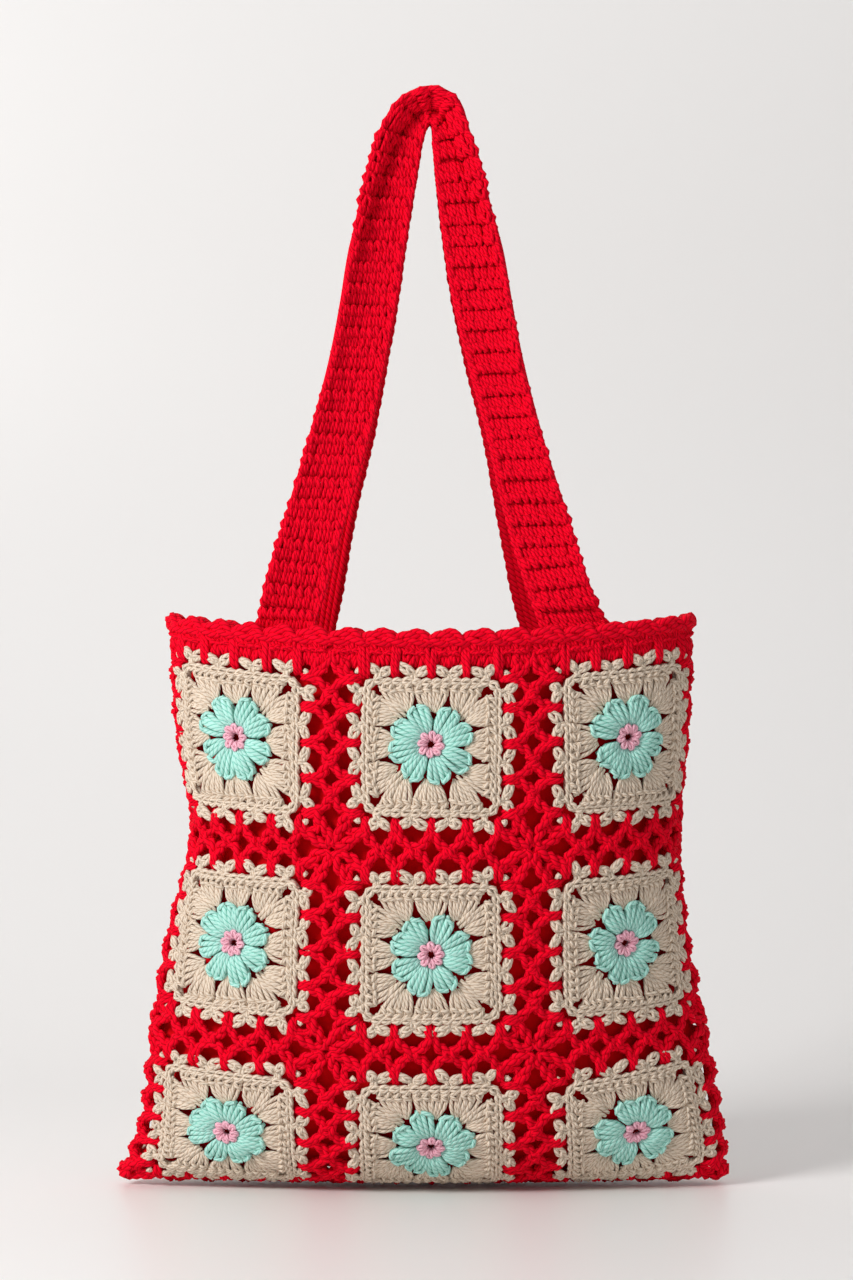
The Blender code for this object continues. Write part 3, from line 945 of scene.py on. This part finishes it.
@dataclass
class GrannySquare:
    """One granny square: a pink eye, mint petals, cream fans, a chain frame and picot pairs.

    Sizes are in millimetres from its centre.
    """

    shop: Workshop
    label: str
    centre: tuple[float, float]
    seed: int
    petal_start: float = 7.2
    petal_end: float = 22.8
    petals: int = 8
    middle_root: float = 21.0
    corner_root: tuple[float, float] = (16.4, 21.0)
    fan_top: float = 37.4
    frame: float = 39.4
    neck: float = 43.8
    picot_out: float = 48.0
    picots: tuple[float, ...] = (-32.5, -10.8, 10.8, 32.5)

    def build(self) -> list[bpy.types.Object]:
        """Makes the three rounds of yarn."""
        rng = np.random.default_rng(self.seed)
        turn = rng.normal(0, math.radians(1.2))
        flower_turn = turn + rng.normal(0, math.radians(3.0))
        jobs = (
            ("centre", Colour.PINK, "yarn_pink", self.eye_strands(), flower_turn),
            ("petals", Colour.MINT, "yarn_mint", self.petal_strands(rng), flower_turn),
            ("square", Colour.CREAM, "yarn_cream", self.cream_strands(rng), turn),
        )
        made = []
        for part, colour, slot, strands, angle in jobs:
            node = f"{part}_{self.label}"
            skein = Skein(self.shop.bag.place, rng=rng)
            skein.lay([one.moved(angle, (0.0, 0.0)) for one in strands], self.centre, wobble=0.2)
            made.append(self.shop.finish(node + "_yarn", skein, colour, [node], slot))
        return made

    def eye_strands(self) -> list[Strand]:
        """Puffs of pink round a small hole."""
        made = []
        puffs = 8
        for k in range(puffs):
            turn = 2 * math.pi * k / puffs
            loop = [
                (2.6, 0.0, 2.4, 1.0),
                (5.2, -1.35, 4.8, 1.25),
                (7.4, -0.3, 4.4, 1.25),
                (6.6, 1.25, 4.8, 1.25),
                (4.2, 0.8, 4.9, 1.15),
            ]
            made.append(strand(loop, 2, True).moved(turn, (0.0, 0.0)))
        turns = np.linspace(0, 2 * math.pi, 12, False)
        under = [(5.0 * math.cos(a), 5.0 * math.sin(a), 1.6, 2.0) for a in turns]
        made.append(Strand(np.array(under), True))
        return made

    def petal_strands(self, rng: np.random.Generator) -> list[Strand]:
        """Clusters of posts that spread into blunt tips, with a leaning chain over each."""
        made = []
        for k in range(self.petals):
            turn = 2 * math.pi * (k + 0.5) / self.petals + rng.normal(0, 0.06)
            reach = self.petal_end + rng.normal(0, 0.8)
            one = []
            for j in range(4):
                spread = (j - 1.5) / 1.5
                rows = [
                    (self.petal_start, spread * 1.7, 3.0, 1.0),
                    (13.0, spread * 4.0, 5.4, 1.7),
                    (reach - 2.2 * spread**2, spread * 5.3, 4.4, 1.75),
                    (reach + 2.6 - 3.2 * spread**2, spread * 4.6, 2.4, 1.2),
                ]
                one.append(strand(rows, 2))
            for j in range(3):
                spread = float(j - 1)
                rows = [
                    (self.petal_start + 1, spread * 1.8, 1.6, 1.4),
                    (14.0, spread * 4.4, 2.4, 2.0),
                    (reach, spread * 4.2, 2.0, 2.0),
                ]
                one.append(strand(rows, 1))
            for way in (-1, 1):
                rows = [
                    (reach - 4.4, way * 6.3, 3.4, 1.1),
                    (reach - 0.6, way * 5.2, 5.6, 1.4),
                    (reach + 1.5, way * 1.0, 5.0, 1.3),
                ]
                one.append(strand(rows, 2))
            made += [each.moved(turn, (0.0, 0.0)) for each in one]
        return made

    def cream_strands(self, rng: np.random.Generator) -> list[Strand]:
        """Fans of posts, the chain frame round them and the picots outside it."""
        made = []
        for side in range(4):
            one = self.fans(rng) + self.picot_pairs(rng)
            for way in (-0.9, 0.9):
                puff = [
                    (16.6 + way, 16.6 - way, 2.2, 1.1),
                    (23.0 + way, 23.0 - way, 4.0, 1.7),
                    (27.4, 27.4, 2.4, 1.4),
                ]
                one.append(strand(puff, 2))
            made += [each.moved(side * math.pi / 2, (0.0, 0.0)) for each in one]
        return made + self.frame_chain()

    def fans(self, rng: np.random.Generator) -> list[Strand]:
        """The three fans that reach one side: one from the middle gap and one from each corner gap."""
        groups = [((0.0, self.middle_root), (-8.7, -2.9, 2.9, 8.7))]
        for sign in (-1, 1):
            root = (sign * self.corner_root[0], self.corner_root[1])
            groups.append((root, tuple(sign * x for x in (14.4, 19.7, 25.0, 29.8))))
        made = []
        for root, tops in groups:
            centre = sum(tops) / len(tops)
            for k, top in enumerate(tops):
                lean = (top - centre) / abs(tops[-1] - centre)
                foot = np.array((root[0] + lean * 2.3, root[1] - 0.8 * lean**2))
                end = np.array((top + rng.normal(0, 0.3), self.fan_top + rng.normal(0, 0.4)))
                bend = foot + (end - foot) * 0.45 + (lean * 0.9, 0.0)
                made += self.fan_post(foot, bend, end)
                if k:
                    half = ((tops[k - 1] + top) / 2, self.fan_top)
                    rows = [(0.12, 0, 1.4, 1.3), (0.55, 0, 1.8, 2.0), (1, 0, 1.6, 2.2)]
                    made.append(strand(beside(foot, half, rows), 1))
        return made

    def fan_post(self, foot: np.ndarray, bend: np.ndarray, end: np.ndarray) -> list[Strand]:
        """One post of a fan: long smooth loops below and a wrapped head."""
        made = []
        way = (end - foot) / np.linalg.norm(end - foot)
        left = np.array([-way[1], way[0]])
        for side in (-1, 1):
            rows = [
                (*(foot + left * side * 0.35), 2.4, 1.0),
                (*(bend + left * side * 1.25), 4.3, 1.35),
                (*(end + left * side * 1.55), 2.8, 1.25),
            ]
            made.append(strand(rows, 2))
        for share, lean in ((0.58, 0.16), (0.88, -0.14)):
            rows = []
            for side, height in ((-1, 2.8), (0, 5.6), (1, 2.8)):
                spot = bend + (end - bend) * (share + side * lean) + left * side * 2.5
                rows.append((*spot, height, 1.3))
            made.append(strand(rows, 2))
        return made

    def frame_chain(self) -> list[Strand]:
        """The chain stitches that frame the fans."""
        f, c = self.frame, 4.0
        corners = []
        for sx, sy in ((1, 1), (-1, 1), (-1, -1), (1, -1)):
            first, last = (sx * f, sy * (f - c)), (sx * (f - c), sy * f)
            corners += [first, last] if sx * sy > 0 else [last, first]
        path = []
        for k, (x, y) in enumerate(corners):
            x2, y2 = corners[(k + 1) % len(corners)]
            path += [(x + (x2 - x) * t, y + (y2 - y) * t) for t in np.linspace(0, 1, 10, False)]
        line = Line(path, True)
        return chain(line, 5.9, 1.55, 4.3, 1.3) + cord(line, 1, 0.0, 50, 2.0, 2.3, 5.0)

    def picot_pairs(self, rng: np.random.Generator) -> list[Strand]:
        """The stems outside the frame, each with two oval loops, and a speck of cream at the corner."""
        made = []
        for x in self.picots:
            neck = (x + rng.normal(0, 0.6), self.neck)
            for k in (-0.9, 0.9):
                rows = [
                    (x + k * 1.6, self.frame + 1.6, 3.2, 1.35),
                    (x + k * 1.1, self.neck - 1.6, 4.6, 1.4),
                    (neck[0] + k * 1.2, self.neck + 0.6, 3.6, 1.3),
                ]
                made.append(strand(rows, 2))
            for sign in (-1, 1):
                at_corner = sign * x > 30
                reach = (3.8 if at_corner else 8.2) + rng.normal(0, 0.9)
                out = self.picot_out + (1.2 if at_corner else 0.0) + rng.normal(0, 1.0)
                made += self.oval(rng, neck, (x + sign * reach, out))
        spot = self.neck + 0.9
        rows = [
            (-spot - 0.9, spot - 1.1, 3.6, 1.3),
            (-spot, spot + 1.0, 4.8, 1.6),
            (-spot + 1.1, spot - 0.8, 3.6, 1.3),
        ]
        made.append(strand(rows, 2))
        return made

    def oval(
        self, rng: np.random.Generator, neck: tuple[float, float], tip: tuple[float, float]
    ) -> list[Strand]:
        """One loop of a picot pair, with a strand across it."""
        wide = 1.8 + rng.normal(0, 0.2)
        loop = [
            (0.0, 0.0, 3.8, 1.2),
            (0.45, wide, 4.6, 1.6),
            (1.0, wide * 0.45, 4.2, 1.5),
            (1.0, -wide * 0.45, 4.2, 1.5),
            (0.45, -wide, 4.8, 1.6),
        ]
        band = [(0.28, wide * 0.9, 4.4, 1.0), (0.46, 0.0, 6.0, 1.15), (0.64, -wide * 0.9, 4.6, 1.0)]
        return [strand(beside(neck, tip, loop), 2, True), strand(beside(neck, tip, band), 2)]


@dataclass
class JoiningNet:
    """The red net: wraps over the picots, arches between them and knots where arches meet.

    Sizes are in millimetres from the centre of the square that each side belongs to.
    """

    shop: Workshop
    wraps: tuple[float, ...] = (-40.5, -21.3, 0.0, 21.3, 40.5)
    inner: float = 50.6
    middle: float = 60.8
    wrap_start: float = 42.4
    border_reach: float = 61.0

    def build(self, centres: Sequence[tuple[str, float, float]]) -> list[bpy.types.Object]:
        """Makes the net's front and back halves.

        Args:
            centres: The face, flat place and row of every square.

        Returns:
            The two objects.
        """
        made = []
        for face in ("front", "back"):
            rng = np.random.default_rng(31 if face == "front" else 32)
            skein = Skein(self.shop.bag.place, rng=rng)
            for label, u, v in centres:
                if label.startswith(face):
                    top_row = label.split("_")[1] == "1"
                    self.surround(skein, rng, (u, v), top_row)
            name = f"joining_net_{face}"
            made.append(self.shop.finish(name, skein, Colour.RED, ["joining_net"], "yarn_red"))
        return made

    def surround(
        self, skein: Skein, rng: np.random.Generator, centre: tuple[float, float], top_row: bool
    ) -> None:
        """Lays the net round one square."""
        for side in range(4):
            at_border = top_row and side == 0
            one = []
            for x in self.wraps:
                one += self.wrap(rng, x, self.border_reach if at_border else self.inner + 2.2)
            if not at_border:
                for x0, x1 in zip(self.wraps, self.wraps[1:]):
                    one += self.arch(rng, x0, x1)
                one += self.knots(rng)
            if not (top_row and side in (0, 3)):
                one += self.corner(rng)
            if top_row and side in (1, 3):
                one += self.top_corner(rng, 1 if side == 1 else -1)
            skein.lay([each.moved(side * math.pi / 2, (0.0, 0.0)) for each in one], centre, wobble=0.35)

    def top_corner(self, rng: np.random.Generator, way: int) -> list[Strand]:
        """The strands that carry an upright band of net on to the border."""
        end = way * -self.wraps[0]
        made = []
        for start, out in ((self.inner, self.middle - 0.6), (self.inner - 3.0, self.inner + 2.0)):
            bend = (end + way * 6.0, (start + out) / 2 + 2.0)
            line = arc([(end, start), bend, (end + way * 12.5, out)], 4)
            made += cord(line, 2, 1.6, 15.0, 3.2, 1.9, 3.0, rng.uniform(0, 6.28))
        return made

    def wrap(self, rng: np.random.Generator, x: float, reach: float) -> list[Strand]:
        """The bundle of red that passes over the picots at one place."""
        made = []
        for k in (-1, 0, 1):
            lean = rng.normal(0, 0.4)
            rows = [
                (x + k * 1.5, self.wrap_start + rng.normal(0, 0.5), 2.2, 1.3),
                (x + k * 1.7 + lean, self.wrap_start + 4.6, 5.6 - 0.5 * abs(k), 1.6),
                (x + k * 2.0 - lean, reach, 3.6, 1.5),
            ]
            made.append(strand(rows, 2 if reach < self.middle else 3))
        return made

    def arch(self, rng: np.random.Generator, x0: float, x1: float) -> list[Strand]:
        """A twisted arch from one wrap to the next, up to the net's middle line."""
        half = (x0 + x1) / 2
        span = (x1 - x0) / 2
        rise = self.middle - self.inner
        line = arc(
            [
                (x0 + 0.5, self.inner - 0.6),
                (x0 + span * 0.42, self.inner + rise * 0.62),
                (half + rng.normal(0, 0.7), self.middle - 0.9 + rng.normal(0, 0.4)),
                (x1 - span * 0.42, self.inner + rise * 0.62),
                (x1 - 0.5, self.inner - 0.6),
            ],
            4,
        )
        made = cord(line, 2, 1.75, 15.0, 3.4, 2.05, 2.7, rng.uniform(0, 6.28))
        made += cord(line, 1, 0.0, 30.0, 1.4, 2.3, 4.0)
        return made

    def knots(self, rng: np.random.Generator) -> list[Strand]:
        """Small wraps where two arches meet on the middle line."""
        made = []
        for x0, x1 in zip(self.wraps, self.wraps[1:]):
            half = (x0 + x1) / 2 + rng.normal(0, 0.5)
            for k in (-1, 1):
                rows = [
                    (half + k * 2.0, self.middle - 3.4, 3.6, 1.3),
                    (half + k * 2.2, self.middle - 0.4, 5.6, 1.6),
                    (half + k * 1.4, self.middle + 1.8, 4.6, 1.4),
                ]
                made.append(strand(rows, 2))
        return made

    def corner(self, rng: np.random.Generator) -> list[Strand]:
        """The arch that turns the square's corner and meets the others at the crossing."""
        end = -self.wraps[0]
        out = self.middle - 1.6
        near = self.inner + 3.6
        bends = [(-near + 2.0, near + 3.4), (-out, out), (-near - 3.4, near - 2.0)]
        line = arc([(-end, self.inner), *bends, (-self.inner, end)], 4)
        made = cord(line, 2, 1.8, 15.0, 3.5, 2.1, 2.7, rng.uniform(0, 6.28))
        bend = (-self.inner - 0.6, self.inner + 0.6)
        low = arc([(-end - 1.0, self.inner - 1.0), bend, (-self.inner + 1.0, end + 1.0)], 3)
        return made + cord(low, 2, 1.5, 14.0, 2.4, 1.9, 3.0)


@dataclass
class RimBorder:
    """The shell border round the mouth: a rolled scalloped edge over fans of posts.

    Sizes are in millimetres, up from the mouth line.
    """

    shop: Workshop
    bump: float = 5.2
    valley: float = -8.4
    row_line: float = -15.6
    bottom: float = -22.0
    # Level, height off the bag and radius of each round that fills the border behind its posts
    fill: tuple[tuple[float, float, float], ...] = (
        (-7.0, 1.8, 2.3),
        (-10.5, 1.2, 2.2),
        (-14.0, 1.2, 2.2),
        (-17.5, 0.8, 2.0),
        (-20.6, 0.6, 1.8),
    )

    def build(self) -> bpy.types.Object:
        """Makes the whole border as one piece."""
        skein = Skein(self.shop.bag.place, rng=np.random.default_rng(51))
        pitch = ROUND / MM / SCALLOPS
        left = -QUARTER / MM
        for k in range(SCALLOPS):
            start = left + k * pitch
            skein.lay(self.shell(skein.rng, start, pitch), wobble=0.3)
        around = np.linspace(0, ROUND / MM, SCALLOPS * 6, False) + left
        for row in self.fill:
            columns = [around] + [np.full(len(around), value) for value in row]
            skein.lay([Strand(np.column_stack(columns), True)], wobble=0.0)
        edge = self.edge_line(left, pitch)
        skein.lay(cord(edge, 2, 1.7, 24.0, 4.6, 2.1, 2.6), wobble=0.15)
        skein.lay(cord(edge, 1, 0.0, 24.0, 2.6, 2.4, 3.4), wobble=0.0)
        return self.shop.finish("rim_border_yarn", skein, Colour.RED, ["rim_border"], "yarn_red")

    def height_at(self, share: np.ndarray) -> np.ndarray:
        """How high the rolled edge stands at shares of a scallop."""
        return self.valley + self.bump * np.abs(np.sin(math.pi * share)) ** 0.7

    def edge_line(self, left: float, pitch: float) -> Line:
        """The scalloped line of the rolled edge."""
        share = np.linspace(0, SCALLOPS, SCALLOPS * 12, False)
        return Line(np.column_stack([left + share * pitch, self.height_at(share % 1)]), True)

    def shell(self, rng: np.random.Generator, start: float, pitch: float) -> list[Strand]:
        """The posts of one scallop, fanned under the roll and slanted below."""
        made = []
        posts = 4
        for k in range(posts):
            share = (k + 0.5) / posts
            top = (start + share * pitch, float(self.height_at(np.array(share))) - 1.8)
            foot = (start + pitch * (0.5 + (share - 0.5) * 0.62) + rng.normal(0, 0.5), self.row_line)
            made += post(foot, top, 3.0, 3.0, 3.8 + rng.normal(0, 0.3), 1.5, (), 0.6)
            knot = [
                (foot[0] - 2.4, self.row_line - 0.2, 2.6, 1.2),
                (foot[0], self.row_line + 1.4, 5.2, 1.4),
                (foot[0] + 2.4, self.row_line - 0.6, 2.6, 1.2),
            ]
            made.append(strand(knot, 2))
        for k in range(4):
            share = (k + 0.5) / 4
            lean = rng.normal(1.4, 0.9)
            foot = (start + share * pitch - lean, self.bottom - 1.4 + rng.normal(0, 0.7))
            top = (start + share * pitch + lean, self.row_line + 0.4)
            made += post(foot, top, 2.9, 1.4, 3.0 + rng.normal(0, 0.5), 1.6, (), 0.8)
        return made


@dataclass
class Handle:
    """One handle: rows of ribs and rows of small slanted knots across a long band.

    Sizes are in millimetres along and across the band.
    """

    shop: Workshop
    which: Side
    name: str
    stitches: int = 7
    repeat: float = 13.3
    rib_share: float = 0.53
    edge: float = 2.2

    def build(self) -> bpy.types.Object:
        """Makes the band as one piece."""
        surface = HandleSurface(self.shop.bag, self.which)
        seed = 71 if self.which is Side.FRONT else 72
        skein = Skein(surface.place, rng=np.random.default_rng(seed))
        length = surface.length / MM
        width = BAND_WIDTH / MM
        step = (width - 2 * self.edge) / self.stitches
        repeats = round(length / self.repeat)
        pitch = length / repeats
        rib = pitch * self.rib_share
        for k in range(repeats):
            s = k * pitch
            strands = []
            for j in range(self.stitches):
                c = self.edge + (j + 0.5) * step
                strands += self.rib_stitch(s, c, step, rib)
                strands += self.knot_stitch(s + rib, c, step, pitch - rib)
            for at, size in ((s + rib * 0.5, 0.1), (s + (rib + pitch) * 0.5, 0.7)):
                strands.append(self.edge_bump(at, width, pitch * 0.30, size * skein.rng.uniform(0.3, 1.0)))
            sway = float(skein.rng.normal(0, 0.5))
            skein.lay(strands, (sway * MM, 0.0), wobble=0.3)
        self.lengthwise(skein, length, width)
        return self.shop.finish(self.name + "_yarn", skein, Colour.RED, [self.name], "yarn_red")

    def rib_stitch(self, s: float, c: float, step: float, tall: float) -> list[Strand]:
        """The two legs of one rib, which rise out of a dark pit at their foot."""
        made = []
        for side in (-1, 1):
            rows = [
                (s - 0.6, -(c + side * step * 0.14), -1.8, 1.2),
                (s + tall * 0.5, -(c + side * step * 0.25), 0.9, 1.5),
                (s + tall + 0.6, -(c + side * step * 0.20), 1.2, 1.3),
            ]
            made.append(strand(rows, 2))
        return made

    def knot_stitch(self, s: float, c: float, step: float, tall: float) -> list[Strand]:
        """The slanted legs of one raised stitch and the loop over their heads."""
        made = []
        lean = step * 0.32
        rows = [
            (s - 0.4, -(c - step * 0.26), -0.4, 1.2),
            (s + tall * 0.45, -(c - step * 0.20), 2.8, 1.6),
            (s + tall * 1.0, -(c + lean * 0.2), 1.6, 1.4),
        ]
        made.append(strand(rows, 2))
        rows = [
            (s - 0.4, -(c + step * 0.30), -0.4, 1.2),
            (s + tall * 0.45, -(c + lean + step * 0.10), 2.7, 1.5),
            (s + tall * 1.05, -(c + lean * 0.4), 1.2, 1.3),
        ]
        made.append(strand(rows, 2))
        return made

    @staticmethod
    def edge_bump(at: float, width: float, half: float, size: float) -> Strand:
        """One step of the outer edge, where a row turns."""
        c = width - 1.9
        rows = [
            (at - half, -(c - 1.4), 0.0, 1.3),
            (at, -(c + 0.4 + size), 0.8, 1.9),
            (at + half, -(c - 1.4), 0.0, 1.3),
        ]
        return strand(rows, 2)

    def lengthwise(self, skein: Skein, length: float, width: float) -> None:
        """The rolled inner edge and the strands that fill the band."""
        s = np.arange(0, length, 4.0)
        for c in np.linspace(3.4, width - 3.4, 9):
            columns = [s, np.full(len(s), -c), np.full(len(s), -2.2), np.full(len(s), 2.3)]
            skein.lay([Strand(np.column_stack(columns))], wobble=0.0)
        inner = Line(np.column_stack([s, np.full(len(s), -1.7)]))
        skein.lay(chain(inner, 6.4, 0.9, 0.9, 1.5), wobble=0.12)


@dataclass
class Lining:
    """The open bag of thin cloth inside the net."""

    shop: Workshop
    cloth: bpy.types.Material
    hem: float = 0.019
    height: float = -0.0030
    thickness: float = 0.0010
    around: int = 132
    down: int = 44

    def build(self) -> bpy.types.Object:
        """Makes the cloth as one closed sheet with a little thickness."""
        u = np.linspace(0, ROUND, self.around, False) - QUARTER
        v = np.linspace(self.hem, DROP, self.down)
        layers = []
        for h in (self.height, self.height - self.thickness):
            grid_v, grid_u = np.meshgrid(v, u, indexing="ij")
            fade = np.sin(math.pi * (grid_v - self.hem) / (DROP - self.hem))
            wave = 0.25 * MM * fade * np.sin(grid_u * 90 + 3 * np.sin(grid_v * 40))
            flat = np.column_stack([grid_u.ravel(), grid_v.ravel(), (h + wave).ravel()])
            layers.append(self.shop.bag.place(flat))
        points = np.vstack(layers)
        size = self.around * self.down
        faces = []
        for i in range(self.down - 1):
            for j in range(self.around):
                a = i * self.around + j
                b = i * self.around + (j + 1) % self.around
                c, d = b + self.around, a + self.around
                faces.append((a, d, c, b))
                faces.append((a + size, b + size, c + size, d + size))
        for j in range(self.around):
            k = (j + 1) % self.around
            faces.append((j, k, k + size, j + size))
        mesh = bpy.data.meshes.new("lining_cloth")
        mesh.from_pydata([tuple(p) for p in points], [], faces)
        mesh.materials.append(self.cloth)
        self.close_seam(mesh)
        mesh.shade_smooth()
        made = bpy.data.objects.new("lining_cloth", mesh)
        bpy.context.scene.collection.objects.link(made)
        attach(made, "root")
        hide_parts("lining")
        return made

    @staticmethod
    def close_seam(mesh: bpy.types.Mesh) -> None:
        """Joins the two faces of the bag along the seam underneath."""
        work = bmesh.new()
        work.from_mesh(mesh)
        bmesh.ops.remove_doubles(work, verts=work.verts, dist=0.01 * MM)
        bmesh.ops.recalc_face_normals(work, faces=work.faces)
        work.to_mesh(mesh)
        work.free()


@dataclass
class Studio:
    """A pale sweep, soft lights and the camera."""

    floor: float
    distance: float = 2.0
    camera_place: tuple[float, float] = (-0.0027, -0.310)
    lens: float = 93.75
    clearance: float = 0.0004
    bag_middle: tuple[float, float, float] = (0.0, 0.0, -0.4)

    def build(self) -> None:
        """Sets up the camera, the sweep, the lights and the sky."""
        bpy.context.scene.view_settings.view_transform = "Standard"
        self.camera()
        self.sweep()
        self.light("key softbox", (-1.6, -1.4, 0.8), 0.8, 48.0)
        self.light("fill softbox", (1.5, -1.7, 0.2), 1.4, 3.5)
        self.light("backdrop softbox", (0.3, 0.3, 1.2), 1.6, 5.5)
        world = bpy.data.worlds.new("studio air")
        world.use_nodes = True
        air = world.node_tree.nodes["Background"]
        air.inputs["Color"].default_value = linear("#F1F2F4")
        air.inputs["Strength"].default_value = 0.35
        bpy.context.scene.world = world

    def camera(self) -> None:
        """The level camera in front of the bag."""
        data = bpy.data.cameras.new("camera")
        data.lens = self.lens
        data.sensor_width = 36
        made = bpy.data.objects.new("camera", data)
        made.location = (self.camera_place[0], -self.distance, self.camera_place[1])
        made.rotation_euler = (math.pi / 2, 0, 0)
        bpy.context.scene.collection.objects.link(made)
        bpy.context.scene.camera = made

    def sweep(self) -> None:
        """The floor that curves up into the backdrop."""
        near, far, radius, top, half = -2.4, 1.1, 0.7, 2.6, 3.2
        profile = [(near, 0.0), (far - radius, 0.0)]
        for angle in np.linspace(0, math.pi / 2, 16)[1:]:
            profile.append((far - radius + radius * math.sin(angle), radius - radius * math.cos(angle)))
        profile.append((far, top))
        points = [(x, y, self.floor + z) for y, z in profile for x in (-half, half)]
        faces = [(2 * k, 2 * k + 1, 2 * k + 3, 2 * k + 2) for k in range(len(profile) - 1)]
        mesh = bpy.data.meshes.new("sweep")
        mesh.from_pydata(points, [], faces)
        mesh.materials.append(PlainFinish("pale studio board", "#F0EEEC", 0.4).material())
        mesh.shade_smooth()
        made = bpy.data.objects.new("sweep", mesh)
        bpy.context.scene.collection.objects.link(made)
        made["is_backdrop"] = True

    def light(self, name: str, place: tuple[float, float, float], size: float, power: float) -> None:
        """One soft square light aimed at the bag's middle."""
        data = bpy.data.lights.new(name, "AREA")
        data.size = size
        data.energy = power
        made = bpy.data.objects.new(name, data)
        made.location = place
        made.rotation_euler = (Vector(self.bag_middle) - Vector(place)).to_track_quat("-Z", "Y").to_euler()
        bpy.context.scene.collection.objects.link(made)


def square_centres() -> list[tuple[str, float, float]]:
    """Label, u and v of each granny square's centre, front and back."""
    found = []
    for face, middle in (("front", 0.0), ("back", 2 * QUARTER)):
        for row in range(ROWS):
            for column in range(COLUMNS):
                u = middle + (column - (COLUMNS - 1) / 2) * PITCH
                v = BORDER_HEIGHT + SQUARE / 2 + row * PITCH
                found.append((f"{face}_{row + 1}_{column + 1}", u, v))
    return found


def main() -> None:
    """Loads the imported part, dresses it and sets up the studio."""
    logging.basicConfig(level=logging.INFO, format="%(name)s: %(message)s")
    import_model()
    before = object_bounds()
    yarns = {
        # Red acrylic: the strong saturated colour of the net, border and handles
        Colour.RED: YarnFinish("red acrylic yarn", Colour.RED).material(),
        # Cream acrylic: pale strands, with warm brown shade painted down their ply grooves
        Colour.CREAM: YarnFinish("cream acrylic yarn", Colour.CREAM).material(),
        # Mint acrylic: cool petals, with deeper green shade painted down their ply grooves
        Colour.MINT: YarnFinish("mint acrylic yarn", Colour.MINT).material(),
        # Pink acrylic: the soft eye of each flower
        Colour.PINK: YarnFinish("pink acrylic yarn", Colour.PINK).material(),
    }
    # Lining cloth: flat deep red that closes every gap of the net
    cloth = ClothFinish("woven lining cloth", Colour.LINING).material()
    shop = Workshop(BagSurface(), YarnSpinner(), yarns)
    centres = square_centres()
    for number, (label, u, v) in enumerate(centres):
        GrannySquare(shop, label, (u, v), seed=100 + number).build()
    JoiningNet(shop).build(centres)
    RimBorder(shop).build()
    Handle(shop, Side.FRONT, "handle_front").build()
    Handle(shop, Side.BACK, "handle_back").build()
    Lining(shop, cloth).build()
    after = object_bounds()
    Studio(floor=min(before[0][2], after[0][2]) - Studio.clearance).build()


if __name__ == "__main__":
    main()
